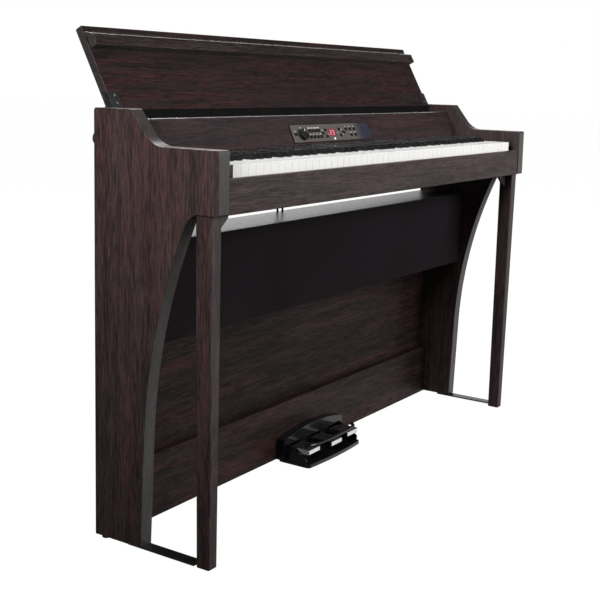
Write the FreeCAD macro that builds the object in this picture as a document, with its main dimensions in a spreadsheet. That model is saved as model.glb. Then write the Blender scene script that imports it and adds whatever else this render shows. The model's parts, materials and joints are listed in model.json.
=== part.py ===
import FreeCAD, Part
import math
import os
import Sketcher

# Digital piano on its own stand, key lid open. Millimetres, +Z up, keys facing -Y.
# The origin is on the floor, under the middle of the whole object.

V = FreeCAD.Vector
doc = FreeCAD.newDocument("digital_piano")
sheet = doc.addObject("Spreadsheet::Sheet", "Dims")

DIMENSIONS = [
    # overall and side panels
    ("half_width", 673), ("inner_half", 642), ("panel_thick", 31), ("board_half", 641.8),
    ("rear_y", 107), ("foot_z", 8), ("panel_top_z", 843), ("panel_toe_y", -11),
    ("front_y", -190), ("arm_top_z", 778), ("arm_under_z", 662),
    ("shin_y", -19), ("shin_z", 230), ("knee_y", -115), ("knee_z", 641), ("curve_radius", 1130),
    ("armpit_y", -142), ("armpit_radius", 42),
    ("cheek_top_y", 15), ("cheek_low_y", -21), ("cheek_low_z", 798), ("cheek_end_y", -63),
    ("cheek_radius", 55), ("arm_round", 4.5), ("panel_round", 6),
    # front legs
    ("leg_top_z", 660), ("leg_rear_y", -138), ("leg_top_front_y", -174), ("leg_foot_front_y", -168),
    ("leg_top_out", 672), ("leg_top_in", 642), ("leg_foot_out", 661), ("leg_foot_in", 636),
    ("leg_round", 3),
    # floor bars, feet, bumpers
    ("bar_half", 13), ("bar_x", 655), ("bar_low_z", 4.5), ("bar_rear_y", 26),
    ("foot_radius", 9), ("foot_x", 657), ("foot_y", 92),
    ("bumper_radius", 13), ("bumper_x", 658), ("bumper_z", 785), ("bumper_proud", 7),
    # back of the stand
    ("back_front_y", 86), ("back_rear_y", 98), ("back_low_z", 20), ("back_top_z", 585),
    ("kick_front_y", 68), ("kick_low_z", 9.5), ("kick_top_z", 143),
    # speaker box
    ("box_low_z", 403), ("box_top_z", 597), ("box_front_y", -18), ("box_roof_y", 104),
    ("box_wall", 12), ("baffle_y", -6), ("box_roof_z", 585), ("box_floor_z", 415),
    ("grille_front_y", -26), ("grille_top_z", 596.5), ("grille_round", 4),
    ("woofer_x", 520), ("woofer_z", 500), ("woofer_radius", 55),
    ("tweeter_x", 400), ("tweeter_radius", 24),
    # keybed, rail, end blocks
    ("bed_z", 663), ("bed_top_z", 679), ("bed_front_y", -176), ("bed_rear_y", 99),
    ("rail_front_y", -188), ("rail_rear_y", -176), ("rail_low_z", 662), ("rail_top_z", 727),
    ("rail_round", 1.5), ("block_in", 612), ("block_rear_y", 75), ("block_top_z", 748),
    ("block_step_y", -160),
    # keys
    ("keys_left_x", -611), ("white_pitch", 23.5), ("key_gap", 0.4), ("octave_pitch", 164.5),
    ("keys_front_y", -173), ("heads_rear_y", -120), ("keys_rear_y", 68),
    ("white_low_z", 726), ("white_top_z", 749.5), ("slot_half", 6.5),
    ("black_front_y", -118.5), ("black_crown_y", -113), ("black_low_z", 731),
    ("black_nose_z", 751), ("black_top_z", 760.5), ("black_wide", 10.6),
    ("black_step_y", -3), ("black_heel_z", 750),
    ("pivot_y", 60), ("pivot_z", 738), ("rod_radius", 3), ("pivot_hole", 3.05),
    # name board, tilted: origin of its own frame on its top front edge
    ("name_top_y", 31.9), ("name_top_z", 824), ("name_lean", 25.4), ("name_height", 77),
    ("name_thick", 9),
    ("window_left", -150), ("window_right", 122), ("window_top", -30), ("window_low", -62),
    ("panel_left", -158), ("panel_right", 178), ("panel_upper", -25), ("panel_lower", -66.5),
    ("plate_thick", 2),
    # lid, in its own frame with its origin on the lower inner edge
    ("lid_y", 91.04), ("lid_z", 838.5), ("lid_lean", 28.5), ("lid_length", 178.08),
    ("lid_thick", 17), ("lid_half", 636), ("lid_chamfer", 2),
    ("lip_half", 633), ("lip_top", 166), ("lip_chin", 152), ("lip_low", 129),
    ("lip_out", -18), ("lip_round", 2),
    ("rail_drop", 20), ("hinge_rail_half", 628),
    ("arm_in_x", 636.3), ("arm_thick", 3), ("leaf_in_x", 612), ("leaf_long", 38),
    ("limb_rear", 8), ("pivot_drop", -42.5), ("pivot_out", -23.2), ("eye_radius", 6),
    ("pin_radius", 3), ("pin_hole", 3.05),
    # covers of the upper case
    ("cover_rear_y", 105), ("cover_top_z", 815), ("well_z", 786), ("well_top_z", 790),
    ("well_front_y", 27),
    # pedals
    ("unit_x", 18), ("unit_half", 116), ("housing_half", 128), ("tray_front_y", -22),
    ("tray_z", 9), ("tray_round", 8), ("housing_front_y", 46), ("shoulder_z", 60), ("crown_z", 75),
    ("wall_thick", 5), ("wall_root_z", 8), ("wall_top_z", 48), ("wall_toe_y", -8), ("wall_toe_z", 20),
    ("window_low_z", 26), ("window_top_z", 45), ("pedal_half", 24), ("slot_clear", 27),
    ("pedal_step", 86), ("pedal_low_z", 30), ("pedal_top_z", 42), ("pedal_tip_y", -20),
    ("side_tip_y", -12),
    ("pedal_rear_y", 64), ("pedal_round", 2), ("axle_y", 54), ("axle_z", 36),
    ("axle_radius", 4), ("axle_hole", 4.05),
]

VALUES = {}
for row, (alias, number) in enumerate(DIMENSIONS, start=1):
    sheet.set("A%d" % row, alias)
    sheet.set("B%d" % row, str(number))
    sheet.setAlias("B%d" % row, alias)
    VALUES[alias] = float(number)
doc.recompute()

PARTS = []


def size(token):
    """The number behind a sheet name; a leading minus turns its sign."""
    if token.startswith("-"):
        return -VALUES[token[1:]]
    return VALUES[token]


def cell(token):
    """The expression that binds a property to a sheet name."""
    if token.startswith("-"):
        return "-Dims." + token[1:]
    return "Dims." + token


def keep(obj, name):
    """Give a finished piece its node name and list it for writing."""
    obj.Label = name
    PARTS.append(obj)
    return obj


def bind_place(obj, x=None, y=None, z=None):
    """Bind the corner or centre of a piece to expressions."""
    for axis, text in (("x", x), ("y", y), ("z", z)):
        if text is not None:
            obj.setExpression("Placement.Base." + axis, text)


def box(label, x, y, z):
    """A block from three (low, high) pairs of expressions."""
    block = doc.addObject("Part::Box", label)
    for prop, (low, high) in (("Length", x), ("Width", y), ("Height", z)):
        block.setExpression(prop, "(%s) - (%s)" % (high, low))
    bind_place(block, x[0], y[0], z[0])
    return block


def rod(label, radius, length, x, y, z, direction):
    """A round bar from a point along a direction; all sizes are expressions."""
    bar = doc.addObject("Part::Cylinder", label)
    bar.setExpression("Radius", radius)
    bar.setExpression("Height", length)
    bar.Placement = FreeCAD.Placement(V(0, 0, 0), FreeCAD.Rotation(V(0, 0, 1), direction))
    bind_place(bar, x, y, z)
    return bar


def cut(label, base, tool):
    """One piece with another taken out of it."""
    result = doc.addObject("Part::Cut", label)
    result.Base = base
    result.Tool = tool
    return result


def fuse(label, pieces):
    """Several touching pieces made one."""
    result = doc.addObject("Part::MultiFuse", label)
    result.Shapes = pieces
    result.Refine = True
    return result


def group(label, pieces):
    """Separate solids of the same kind kept as one node."""
    result = doc.addObject("Part::Compound", label)
    result.Links = pieces
    return result


def new_body(label):
    """An empty PartDesign body."""
    return doc.addObject("PartDesign::Body", label)


def attach(body, label, role, offset=None):
    """A sketch on one of its body's origin planes, lifted by a sheet expression."""
    plane = [f for f in body.Origin.OriginFeatures if f.Role == role][0]
    sketch = body.newObject("Sketcher::SketchObject", label)
    sketch.AttachmentSupport = [(plane, "")]
    sketch.MapMode = "FlatFace"
    if offset is not None:
        sketch.setExpression("AttachmentOffset.Base.z", offset)
    return sketch


def bulge_arc(start, end, radius, side):
    """The short arc between two points, bulging to the left (+1) or right (-1) of the way."""
    middle = (start + end) * 0.5
    chord = end - start
    left = V(-chord.y, chord.x, 0).normalize()
    rise = math.sqrt(radius * radius - chord.Length * chord.Length / 4)
    sagitta = radius - rise
    return Part.ArcOfCircle(start, middle + left * (side * sagitta), end)


def outline(sketch, corners, arcs=None):
    """Close a chain of lines and arcs through corners named in the sheet, and pin them."""
    arcs = arcs or {}
    points = [V(size(u), size(v), 0) for u, v in corners]
    ends = []
    for i, start in enumerate(points):
        end = points[(i + 1) % len(points)]
        if i in arcs:
            radius, side = arcs[i]
            edge = sketch.addGeometry(bulge_arc(start, end, size(radius), side))
            turned = side > 0
            ends.append((edge, 2 if turned else 1, 1 if turned else 2))
        else:
            edge = sketch.addGeometry(Part.LineSegment(start, end))
            ends.append((edge, 1, 2))
    for i, (edge, first, last) in enumerate(ends):
        after, after_first, after_last = ends[(i + 1) % len(ends)]
        sketch.addConstraint(Sketcher.Constraint("Coincident", edge, last, after, after_first))
    for i, (edge, first, last) in enumerate(ends):
        for kind, token in (("DistanceX", corners[i][0]), ("DistanceY", corners[i][1])):
            pin = Sketcher.Constraint(kind, -1, 1, edge, first, size(token))
            index = sketch.addConstraint(pin)
            sketch.setExpression("Constraints[%d]" % index, cell(token))
    for i, (radius, side) in arcs.items():
        pin = Sketcher.Constraint("Radius", ends[i][0], size(radius))
        index = sketch.addConstraint(pin)
        sketch.setExpression("Constraints[%d]" % index, cell(radius))
    return sketch


def pad(body, sketch, length):
    """Push a sketch out along its normal."""
    solid = body.newObject("PartDesign::Pad", sketch.Name + "_pad")
    solid.Profile = sketch
    solid.setExpression("Length", length)
    sketch.Visibility = False
    return solid


def pocket_through(body, sketch):
    """Cut a sketch through everything, both ways."""
    hole = body.newObject("PartDesign::Pocket", sketch.Name + "_cut")
    hole.Profile = sketch
    hole.Type = "ThroughAll"
    hole.Midplane = True
    return hole


def circle(sketch, u, v, radius):
    """A circle whose centre and radius are pinned to the sheet."""
    ring = sketch.addGeometry(Part.Circle(V(size(u), size(v), 0), V(0, 0, 1), size(radius)))
    for kind, token in (("DistanceX", u), ("DistanceY", v)):
        index = sketch.addConstraint(Sketcher.Constraint(kind, -1, 1, ring, 3, size(token)))
        sketch.setExpression("Constraints[%d]" % index, cell(token))
    index = sketch.addConstraint(Sketcher.Constraint("Radius", ring, size(radius)))
    sketch.setExpression("Constraints[%d]" % index, cell(radius))
    return ring


def round_edges(body, base, chosen, radius):
    """Round the edges of a feature that a test picks."""
    doc.recompute()
    names = ["Edge%d" % (i + 1) for i, e in enumerate(base.Shape.Edges) if chosen(e)]
    smooth = body.newObject("PartDesign::Fillet", base.Name + "_round")
    smooth.Base = (base, names)
    smooth.setExpression("Radius", radius)
    return smooth


def lies_along(edge, axis):
    """True for a straight edge along X (0), Y (1) or Z (2)."""
    if edge.Curve.TypeId != "Part::GeomLine":
        return False
    way = edge.Curve.Direction
    return abs(abs((way.x, way.y, way.z)[axis]) - 1) < 1e-6


def along_x_at(spots):
    """A test for edges along X that pass through one of the (y, z) spots."""
    wanted = [(size(y), size(z)) for y, z in spots]

    def test(edge):
        if not lies_along(edge, 0):
            return False
        at = edge.CenterOfMass
        return any(abs(at.y - y) < 0.01 and abs(at.z - z) < 0.01 for y, z in wanted)

    return test


# ---------------------------------------------------------------- side panels

PANEL = [
    ("rear_y", "foot_z"), ("rear_y", "panel_top_z"), ("cheek_top_y", "panel_top_z"),
    ("cheek_low_y", "cheek_low_z"), ("cheek_end_y", "arm_top_z"), ("front_y", "arm_top_z"),
    ("front_y", "arm_under_z"), ("armpit_y", "arm_under_z"), ("knee_y", "knee_z"),
    ("shin_y", "shin_z"), ("panel_toe_y", "foot_z"),
]
PANEL_ARCS = {3: ("cheek_radius", 1), 7: ("armpit_radius", 1), 8: ("curve_radius", 1)}
PANEL_SPOTS = [("front_y", "arm_top_z"), ("front_y", "arm_under_z")]


def side_panel(name, start):
    """A side board: foot, curved front edge, arm that carries the keybed, sloping cheek."""
    body = new_body(name + "_body")
    profile = outline(attach(body, name + "_profile", "YZ_Plane", start), PANEL, PANEL_ARCS)
    board = pad(body, profile, "Dims.panel_thick")
    tops = [("rear_y", "panel_top_z"), ("cheek_top_y", "panel_top_z")]
    small = round_edges(body, board, along_x_at(PANEL_SPOTS), "Dims.arm_round")
    round_edges(body, small, along_x_at(tops), "Dims.panel_round")
    return keep(body, name)


side_panel("left_side_panel", "-Dims.half_width")
side_panel("right_side_panel", "Dims.inner_half")

# ---------------------------------------------------------------- stand


def front_leg(name):
    """A tapered square leg, narrower at the floor and leaning slightly inwards."""
    taper = doc.addObject("Part::Wedge", name + "_taper")
    bounds = (("Xmin", "Dims.leg_foot_in"), ("Xmax", "Dims.leg_foot_out"),
              ("X2min", "Dims.leg_top_in"), ("X2max", "Dims.leg_top_out"),
              ("Zmin", "-Dims.leg_rear_y"), ("Zmax", "-Dims.leg_foot_front_y"),
              ("Z2min", "-Dims.leg_rear_y"), ("Z2max", "-Dims.leg_top_front_y"),
              ("Ymin", "0"), ("Ymax", "Dims.leg_top_z"))
    for prop, text in bounds:
        taper.setExpression(prop, text)
    taper.Placement = FreeCAD.Placement(V(0, 0, 0), FreeCAD.Rotation(V(1, 0, 0), 90))
    doc.recompute()
    leg = doc.addObject("Part::Fillet", name + "_leg")
    leg.Base = taper
    tall = size("leg_top_z") - 1
    uprights = [i + 1 for i, e in enumerate(taper.Shape.Edges) if e.BoundBox.ZLength > tall]
    leg.Edges = [(i, size("leg_round"), size("leg_round")) for i in uprights]
    return keep(leg, name)


def mirrored(label, source):
    """The same piece on the other side of the middle plane."""
    twin = doc.addObject("Part::Mirroring", label)
    twin.Source = source
    twin.Normal = V(1, 0, 0)
    return twin


def pair(name, right):
    """A right-hand piece and its mirror image as one node."""
    return keep(group(name + "_pair", [right, mirrored(name + "_left", right)]), name)


right_leg = front_leg("right_front_leg")
keep(mirrored("left_leg", right_leg), "left_front_leg")


bracket_plate = box("bracket_plate", ("600", "Dims.half_width - 3"),
                    ("Dims.leg_top_front_y - 3", "Dims.armpit_y - 1"),
                    ("Dims.leg_top_z", "Dims.arm_under_z"))
gusset_body = new_body("bracket_gusset_body")
gusset_sketch = attach(gusset_body, "gusset_outline", "XZ_Plane", "150")
GUSSET = [V(600, 660, 0), V(641.6, 660, 0), V(641.6, 628, 0), V(630, 628, 0), V(600, 652, 0)]
for i, corner in enumerate(GUSSET):
    gusset_sketch.addGeometry(Part.LineSegment(corner, GUSSET[(i + 1) % len(GUSSET)]))
pad(gusset_body, gusset_sketch, "6")
pair("leg_brackets", fuse("leg_bracket", [bracket_plate, gusset_body]))

pair("floor_bars", box("floor_bar", ("Dims.bar_x - Dims.bar_half", "Dims.bar_x + Dims.bar_half"),
                       ("Dims.leg_rear_y", "Dims.bar_rear_y"), ("Dims.bar_low_z", "Dims.foot_z")))
pair("rear_feet", rod("rear_foot", "Dims.foot_radius", "Dims.foot_z",
                      "Dims.foot_x", "Dims.foot_y", "0", V(0, 0, 1)))
pair("wall_bumpers", rod("wall_bumper", "Dims.bumper_radius", "Dims.bumper_proud",
                         "Dims.bumper_x", "Dims.rear_y", "Dims.bumper_z", V(0, 1, 0)))

ACROSS = ("-Dims.board_half", "Dims.board_half")
keep(box("back", ACROSS, ("Dims.back_front_y", "Dims.back_rear_y"),
         ("Dims.back_low_z", "Dims.back_top_z")), "back_board")
keep(box("kick", ACROSS, ("Dims.kick_front_y", "Dims.back_front_y"),
         ("Dims.kick_low_z", "Dims.kick_top_z")), "kick_board")
corner_blocks = []
for label, low in (("low", "13"), ("high", "119")):
    corner_blocks.append(box("corner_block_" + label, ("Dims.board_half - 12", "Dims.board_half"),
                             ("Dims.kick_front_y - 8", "Dims.kick_front_y"),
                             (low, low + " + 12")))
keep(group("corner_block_set", corner_blocks
           + [mirrored(b.Name + "_left", b) for b in corner_blocks]), "corner_brackets")

# ---------------------------------------------------------------- speaker box

box_body = new_body("speaker_box_body")
BOX_SECTION = [
    ("box_front_y", "box_low_z"), ("back_front_y", "box_low_z"), ("back_front_y", "box_floor_z"),
    ("baffle_y", "box_floor_z"), ("baffle_y", "box_roof_z"), ("box_roof_y", "box_roof_z"),
    ("box_roof_y", "box_top_z"), ("box_front_y", "box_top_z"),
]
section = outline(attach(box_body, "box_section", "YZ_Plane", "-Dims.board_half"), BOX_SECTION)
pad(box_body, section, "2 * Dims.board_half")
mouths = attach(box_body, "speaker_mouths", "XZ_Plane")
for sign in ("", "-"):
    circle(mouths, sign + "woofer_x", "woofer_z", "woofer_radius")
    circle(mouths, sign + "tweeter_x", "woofer_z", "tweeter_radius")
mouth_cut = box_body.newObject("PartDesign::Pocket", "mouth_cut")
mouth_cut.Profile = mouths
mouth_cut.Type = "Length"
mouth_cut.Midplane = True
mouth_cut.Length = 60
keep(box_body, "speaker_box")

grille_body = new_body("grille_body")
GRILLE = [("grille_front_y", "box_low_z"), ("box_front_y", "box_low_z"),
          ("box_front_y", "grille_top_z"), ("grille_front_y", "grille_top_z")]
grille = pad(grille_body, outline(attach(grille_body, "grille_section", "YZ_Plane",
                                         "-Dims.board_half"), GRILLE), "2 * Dims.board_half")
round_edges(grille_body, grille, along_x_at([("grille_front_y", "grille_top_z"),
                                             ("grille_front_y", "box_low_z")]),
            "Dims.grille_round")
keep(grille_body, "speaker_grille")


def driver(label, x, radius, depth):
    """A loudspeaker: basket narrowing to its magnet, seated behind the baffle."""
    rim = rod(label + "_rim", radius + " + 5", "4", x, "Dims.baffle_y", "Dims.woofer_z", V(0, 1, 0))
    basket = doc.addObject("Part::Cone", label + "_basket")
    basket.setExpression("Radius1", radius)
    basket.setExpression("Radius2", radius + " * 0.5")
    basket.setExpression("Height", depth)
    basket.Placement = FreeCAD.Placement(V(0, 0, 0), FreeCAD.Rotation(V(0, 0, 1), V(0, 1, 0)))
    bind_place(basket, x, "Dims.baffle_y + 4", "Dims.woofer_z")
    magnet = rod(label + "_magnet", radius + " * 0.6", depth + " * 0.6", x,
                 "Dims.baffle_y + 4 + " + depth, "Dims.woofer_z", V(0, 1, 0))
    return fuse(label, [rim, basket, magnet])


drivers = [driver("woofer", "Dims.woofer_x", "Dims.woofer_radius", "34"),
           driver("tweeter", "Dims.tweeter_x", "Dims.tweeter_radius", "14")]
keep(group("driver_set", drivers + [mirrored(d.Name + "_left", d) for d in drivers]),
     "speaker_drivers")

# ---------------------------------------------------------------- keybed and case

keep(box("bed", ACROSS, ("Dims.bed_front_y", "Dims.bed_rear_y"),
         ("Dims.bed_z", "Dims.bed_top_z")), "key_bed")

rail_body = new_body("rail_body")
RAIL = [("rail_front_y", "rail_low_z"), ("rail_rear_y", "rail_low_z"),
        ("rail_rear_y", "rail_top_z"), ("rail_front_y", "rail_top_z")]
rail = pad(rail_body, outline(attach(rail_body, "rail_section", "YZ_Plane", "-Dims.board_half"),
                              RAIL), "2 * Dims.board_half")
round_edges(rail_body, rail, along_x_at([("rail_front_y", "rail_top_z"),
                                         ("rail_front_y", "rail_low_z")]), "Dims.rail_round")
keep(rail_body, "front_rail")

block_body = box("block_body", ("Dims.block_in", "Dims.board_half"),
                 ("Dims.block_step_y", "Dims.block_rear_y"), ("Dims.bed_top_z", "Dims.block_top_z"))
block_toe = box("block_toe", ("Dims.block_in", "Dims.board_half"),
                ("Dims.bed_front_y", "Dims.block_step_y"), ("Dims.bed_top_z", "Dims.rail_top_z"))
end_block = fuse("end_block", [block_body, block_toe])
rod_hole = rod("rod_hole", "Dims.rod_radius", "40", "Dims.block_in - 2",
               "Dims.pivot_y", "Dims.pivot_z", V(1, 0, 0))
pair("end_blocks", cut("bored_block", end_block, rod_hole))
keep(rod("pivot_rod", "Dims.rod_radius", "2 * Dims.block_in + 56", "-Dims.block_in - 28",
         "Dims.pivot_y", "Dims.pivot_z", V(1, 0, 0)), "key_pivot_rod")

frame_floor = box("frame_floor", ("-608", "608"), ("-160", "90"), ("Dims.bed_top_z", "683"))
stop_rail = box("stop_rail", ("-608", "608"), ("-150", "-132"), ("683", "714.5"))
heel_rail = box("heel_rail", ("-608", "608"), ("74", "84"), ("683", "735"))
keep(fuse("chassis", [frame_floor, stop_rail, heel_rail]), "key_frame")
contact_posts = [box("contact_post_%d" % i, ("%d" % x, "%d" % (x + 10)), ("-60", "-10"),
                     ("683", "700")) for i, x in enumerate(range(-600, 601, 240))]
contact_card = box("contact_card", ("-604", "604"), ("-64", "-6"), ("700", "701.6"))
keep(fuse("contact_strip", contact_posts + [contact_card]), "key_contact_board")

card = box("main_card", ("-170", "90"), ("5", "70"), ("686", "687.6"))
card_posts = [box("card_post_%d" % i, ("%d" % x, "%d" % (x + 6)), ("%d" % y, "%d" % (y + 6)),
                  ("683", "686")) for i, (x, y) in enumerate(((-165, 8), (78, 8), (-165, 60), (78, 60)))]
chips = [box("chip_%d" % i, ("%d" % x, "%d" % (x + 24)), ("24", "48"), ("687.6", "690"))
         for i, x in enumerate((-130, -80, -30, 30))]
keep(fuse("main_card_set", [card] + card_posts + chips), "main_circuit_board")

keep(box("rear_sheet", ACROSS, ("Dims.bed_rear_y", "Dims.cover_rear_y"),
         ("Dims.bed_z", "Dims.cover_top_z")), "rear_cover")
keep(box("well_floor", ACROSS, ("Dims.well_front_y", "Dims.bed_rear_y"),
         ("Dims.well_z", "Dims.well_top_z")), "lid_well")
socket_case = box("socket_case", ("-600", "-500"), ("58", "98"), ("645", "Dims.bed_z"))
SOCKETS = ((-585, 3.2), (-555, 3.3), (-525, 3.3))
bores = [rod("socket_bore_%d" % i, "%s" % radius, "15", "%d" % x, "84", "654", V(0, 1, 0))
         for i, (x, radius) in enumerate(SOCKETS)]
keep(cut("socket_box_cut", socket_case, group("socket_bores", bores)), "socket_box")

# ---------------------------------------------------------------- keys

C_LEFT = size("keys_left_x") + 2 * size("white_pitch") - size("octave_pitch")
NARROW = 3 * size("white_pitch") / 5
BROAD = 4 * size("white_pitch") / 7
F_LEFT = 3 * size("white_pitch")
SHARPS = {"c_sharp": 1.5 * NARROW, "d_sharp": 3.5 * NARROW, "f_sharp": F_LEFT + 1.5 * BROAD,
          "g_sharp": F_LEFT + 3.5 * BROAD, "a_sharp": F_LEFT + 5.5 * BROAD}
WHITES = [("c", None, "c_sharp"), ("d", "c_sharp", "d_sharp"), ("e", "d_sharp", None),
          ("f", None, "f_sharp"), ("g", "f_sharp", "g_sharp"), ("a", "g_sharp", "a_sharp"),
          ("b", "a_sharp", None)]


def repeat_by_octave(body, features, count):
    """Set a key down again, one octave apart, along the keyboard."""
    row = body.newObject("PartDesign::LinearPattern", body.Name + "_octaves")
    row.Originals = features
    row.Direction = (attach(body, body.Name + "_way", "XY_Plane"), ["H_Axis"])
    row.setExpression("Length", "%d * Dims.octave_pitch" % (count - 1))
    row.Occurrences = count
    body.Tip = row
    return row


def pivot_bore(body):
    """The bore near the heel of each key that turns on the pivot rod."""
    bore = attach(body, body.Name + "_bore", "YZ_Plane")
    circle(bore, "pivot_y", "pivot_z", "pivot_hole")
    body.Tip = pocket_through(body, bore)


def white_keys(note, index, left_sharp, right_sharp):
    """All white keys of one note name: broad head, tail between its sharps."""
    first = 0 if note in "ab" else 1
    start = C_LEFT + first * size("octave_pitch")
    left = start + index * size("white_pitch") + size("key_gap")
    right = left + size("white_pitch") - 2 * size("key_gap")
    tail_left = left if left_sharp is None else start + SHARPS[left_sharp] + size("slot_half")
    tail_right = right if right_sharp is None else start + SHARPS[right_sharp] - size("slot_half")
    front, neck, rear = size("keys_front_y"), size("heads_rear_y"), size("keys_rear_y")
    ring = [V(left, front, 0), V(right, front, 0), V(right, neck, 0), V(tail_right, neck, 0),
            V(tail_right, rear, 0), V(tail_left, rear, 0), V(tail_left, neck, 0), V(left, neck, 0)]
    ring = [p for i, p in enumerate(ring) if p.distanceToPoint(ring[i - 1]) > 1e-6]
    body = new_body(note + "_keys_body")
    shape = attach(body, note + "_outline", "XY_Plane", "Dims.white_low_z")
    for i, corner in enumerate(ring):
        shape.addGeometry(Part.LineSegment(corner, ring[(i + 1) % len(ring)]))
    key = pad(body, shape, "Dims.white_top_z - Dims.white_low_z")
    repeat_by_octave(body, [key], 8 if note in "cab" else 7)
    pivot_bore(body)
    return keep(body, note + "_keys")


def sharp_keys(note):
    """All black keys of one note name: sloping nose, low heel under the name board."""
    first = 0 if note == "a_sharp" else 1
    centre = C_LEFT + first * size("octave_pitch") + SHARPS[note]
    body = new_body(note + "_keys_body")
    side = attach(body, note + "_side", "YZ_Plane", "%f - Dims.black_wide / 2" % centre)
    outline(side, [("black_front_y", "black_low_z"), ("keys_rear_y", "black_low_z"),
                   ("keys_rear_y", "black_heel_z"), ("black_step_y", "black_heel_z"),
                   ("black_step_y", "black_top_z"), ("black_crown_y", "black_top_z"),
                   ("black_front_y", "black_nose_z")])
    key = pad(body, side, "Dims.black_wide")
    repeat_by_octave(body, [key], 8 if note == "a_sharp" else 7)
    pivot_bore(body)
    return keep(body, note + "_keys")


for number, (note, left_sharp, right_sharp) in enumerate(WHITES):
    white_keys(note, number, left_sharp, right_sharp)
for note in SHARPS:
    sharp_keys(note)

# ---------------------------------------------------------------- name board and controls

NAME_PLACE = FreeCAD.Placement(V(0, size("name_top_y"), size("name_top_z")),
                               FreeCAD.Rotation(V(1, 0, 0), -size("name_lean")))


def on_name_board(obj):
    """Set a piece made flat and upright onto the tilted name board."""
    turned = FreeCAD.Rotation(V(1, 0, 0), -size("name_lean"))
    obj.Placement = FreeCAD.Placement(NAME_PLACE.multVec(obj.Placement.Base),
                                      turned.multiply(obj.Placement.Rotation))
    return obj


def flat_box(label, x, y, z):
    """A block given in the name board's own frame by plain numbers."""
    block = doc.addObject("Part::Box", label)
    block.Length = x[1] - x[0]
    block.Width = y[1] - y[0]
    block.Height = z[1] - z[0]
    block.Placement.Base = V(x[0], y[0], z[0])
    return block


board = box("name_slab", ACROSS, ("0", "Dims.name_thick"), ("-Dims.name_height", "0"))
window = box("name_window", ("Dims.window_left", "Dims.window_right"), ("-1", "Dims.name_thick + 1"),
             ("Dims.window_low", "Dims.window_top"))
name_board = cut("name_panel", board, window)
name_board.Placement = NAME_PLACE
bind_place(name_board, None, "Dims.name_top_y", "Dims.name_top_z")
keep(name_board, "name_board")

# places on the control plate: x along the board, drop below its top edge
BUTTON_WIDE = 9.6
BUTTON_TALL = 6.4
BUTTON_GAP = 0.3
BUTTONS = {
    "power_button": [(-144, 47)],
    "upper_left_buttons": [(-85, 40), (-72.6, 40), (-60.2, 40), (-47.8, 40)],
    "lower_left_buttons": [(-87, 55), (-72.7, 55), (-58.4, 55), (-44.1, 55)],
    "left_menu_buttons": [(-20.5, 39.7), (-34, 47.4), (-19.3, 55)],
    "right_menu_buttons": [(40, 39), (57, 46.4), (42, 54)],
    "upper_right_buttons": [(71.5, 39), (89.5, 39), (107.5, 39)],
    "lower_right_buttons": [(88, 54), (106.5, 54)],
}
DISPLAY = (6.6, 46)
DISPLAY_WIDE = 32
DISPLAY_TALL = 17
KNOB = (-119, 48.5)
KNOB_RADIUS = 13.5
PROUD = 1.2

plate = box("plate_blank", ("Dims.panel_left", "Dims.panel_right"), ("-Dims.plate_thick", "0"),
            ("Dims.panel_lower", "Dims.panel_upper"))
plate_tools = []
button_nodes = {}
for name, spots in BUTTONS.items():
    caps = []
    for i, (x, drop) in enumerate(spots):
        wide, tall = BUTTON_WIDE / 2, BUTTON_TALL / 2
        caps.append(flat_box("%s_cap_%d" % (name, i), (x - wide, x + wide),
                             (-size("plate_thick") - PROUD, 4), (-drop - tall, -drop + tall)))
        wide, tall = wide + BUTTON_GAP, tall + BUTTON_GAP
        plate_tools.append(flat_box("%s_hole_%d" % (name, i), (x - wide, x + wide),
                                    (-4, 1), (-drop - tall, -drop + tall)))
    button_nodes[name] = caps
x, drop = DISPLAY
wide, tall = DISPLAY_WIDE / 2, DISPLAY_TALL / 2
screen = flat_box("screen", (x - wide, x + wide), (-size("plate_thick") + 0.2, 4),
                  (-drop - tall, -drop + tall))
plate_tools.append(flat_box("screen_hole", (x - wide - 0.1, x + wide + 0.1), (-4, 1),
                            (-drop - tall - 0.1, -drop + tall + 0.1)))


def flat_rod(label, radius, x, drop, near, far):
    """A round bar square to the name board, between two depths."""
    bar = doc.addObject("Part::Cylinder", label)
    bar.Radius = radius
    bar.Height = far - near
    bar.Placement = FreeCAD.Placement(V(x, near, -drop), FreeCAD.Rotation(V(1, 0, 0), -90))
    return bar


plate_tools.append(flat_rod("knob_bore", 3.05, KNOB[0], KNOB[1], -4, 1))
control_plate = cut("control_plate", plate, group("plate_openings", plate_tools))
control_plate.Placement = NAME_PLACE
keep(control_plate, "control_panel")
keep(on_name_board(screen), "display_window")
knob_cap = flat_rod("knob_cap", KNOB_RADIUS, KNOB[0], KNOB[1], -12, -size("plate_thick") - 0.3)
knob_stem = flat_rod("knob_stem", 3, KNOB[0], KNOB[1], -12, 4.5)
knob = fuse("knob", [knob_cap, knob_stem])
knob.Placement = NAME_PLACE
keep(knob, "volume_knob")
for name, caps in button_nodes.items():
    buttons = group(name + "_set", caps)
    buttons.Placement = NAME_PLACE
    keep(buttons, name)
panel_card = flat_box("panel_card", (-149, 121), (6.2, 7.8), (-61.5, -30.5))
knob_clear = flat_rod("knob_clear", 4, KNOB[0], KNOB[1], 5, 9)
control_card = cut("control_card", panel_card, knob_clear)
control_card.Placement = NAME_PLACE
keep(control_card, "control_circuit_board")

# ---------------------------------------------------------------- lid and its hinges

LID_PLACE = FreeCAD.Placement(V(0, size("lid_y"), size("lid_z")),
                              FreeCAD.Rotation(V(1, 0, 0), -size("lid_lean")))


def on_lid(obj):
    """Lean a piece of the lid back with it; its own Z runs up the lid from the lower edge."""
    obj.Placement = LID_PLACE
    bind_place(obj, None, "Dims.lid_y", "Dims.lid_z")
    return obj


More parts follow.
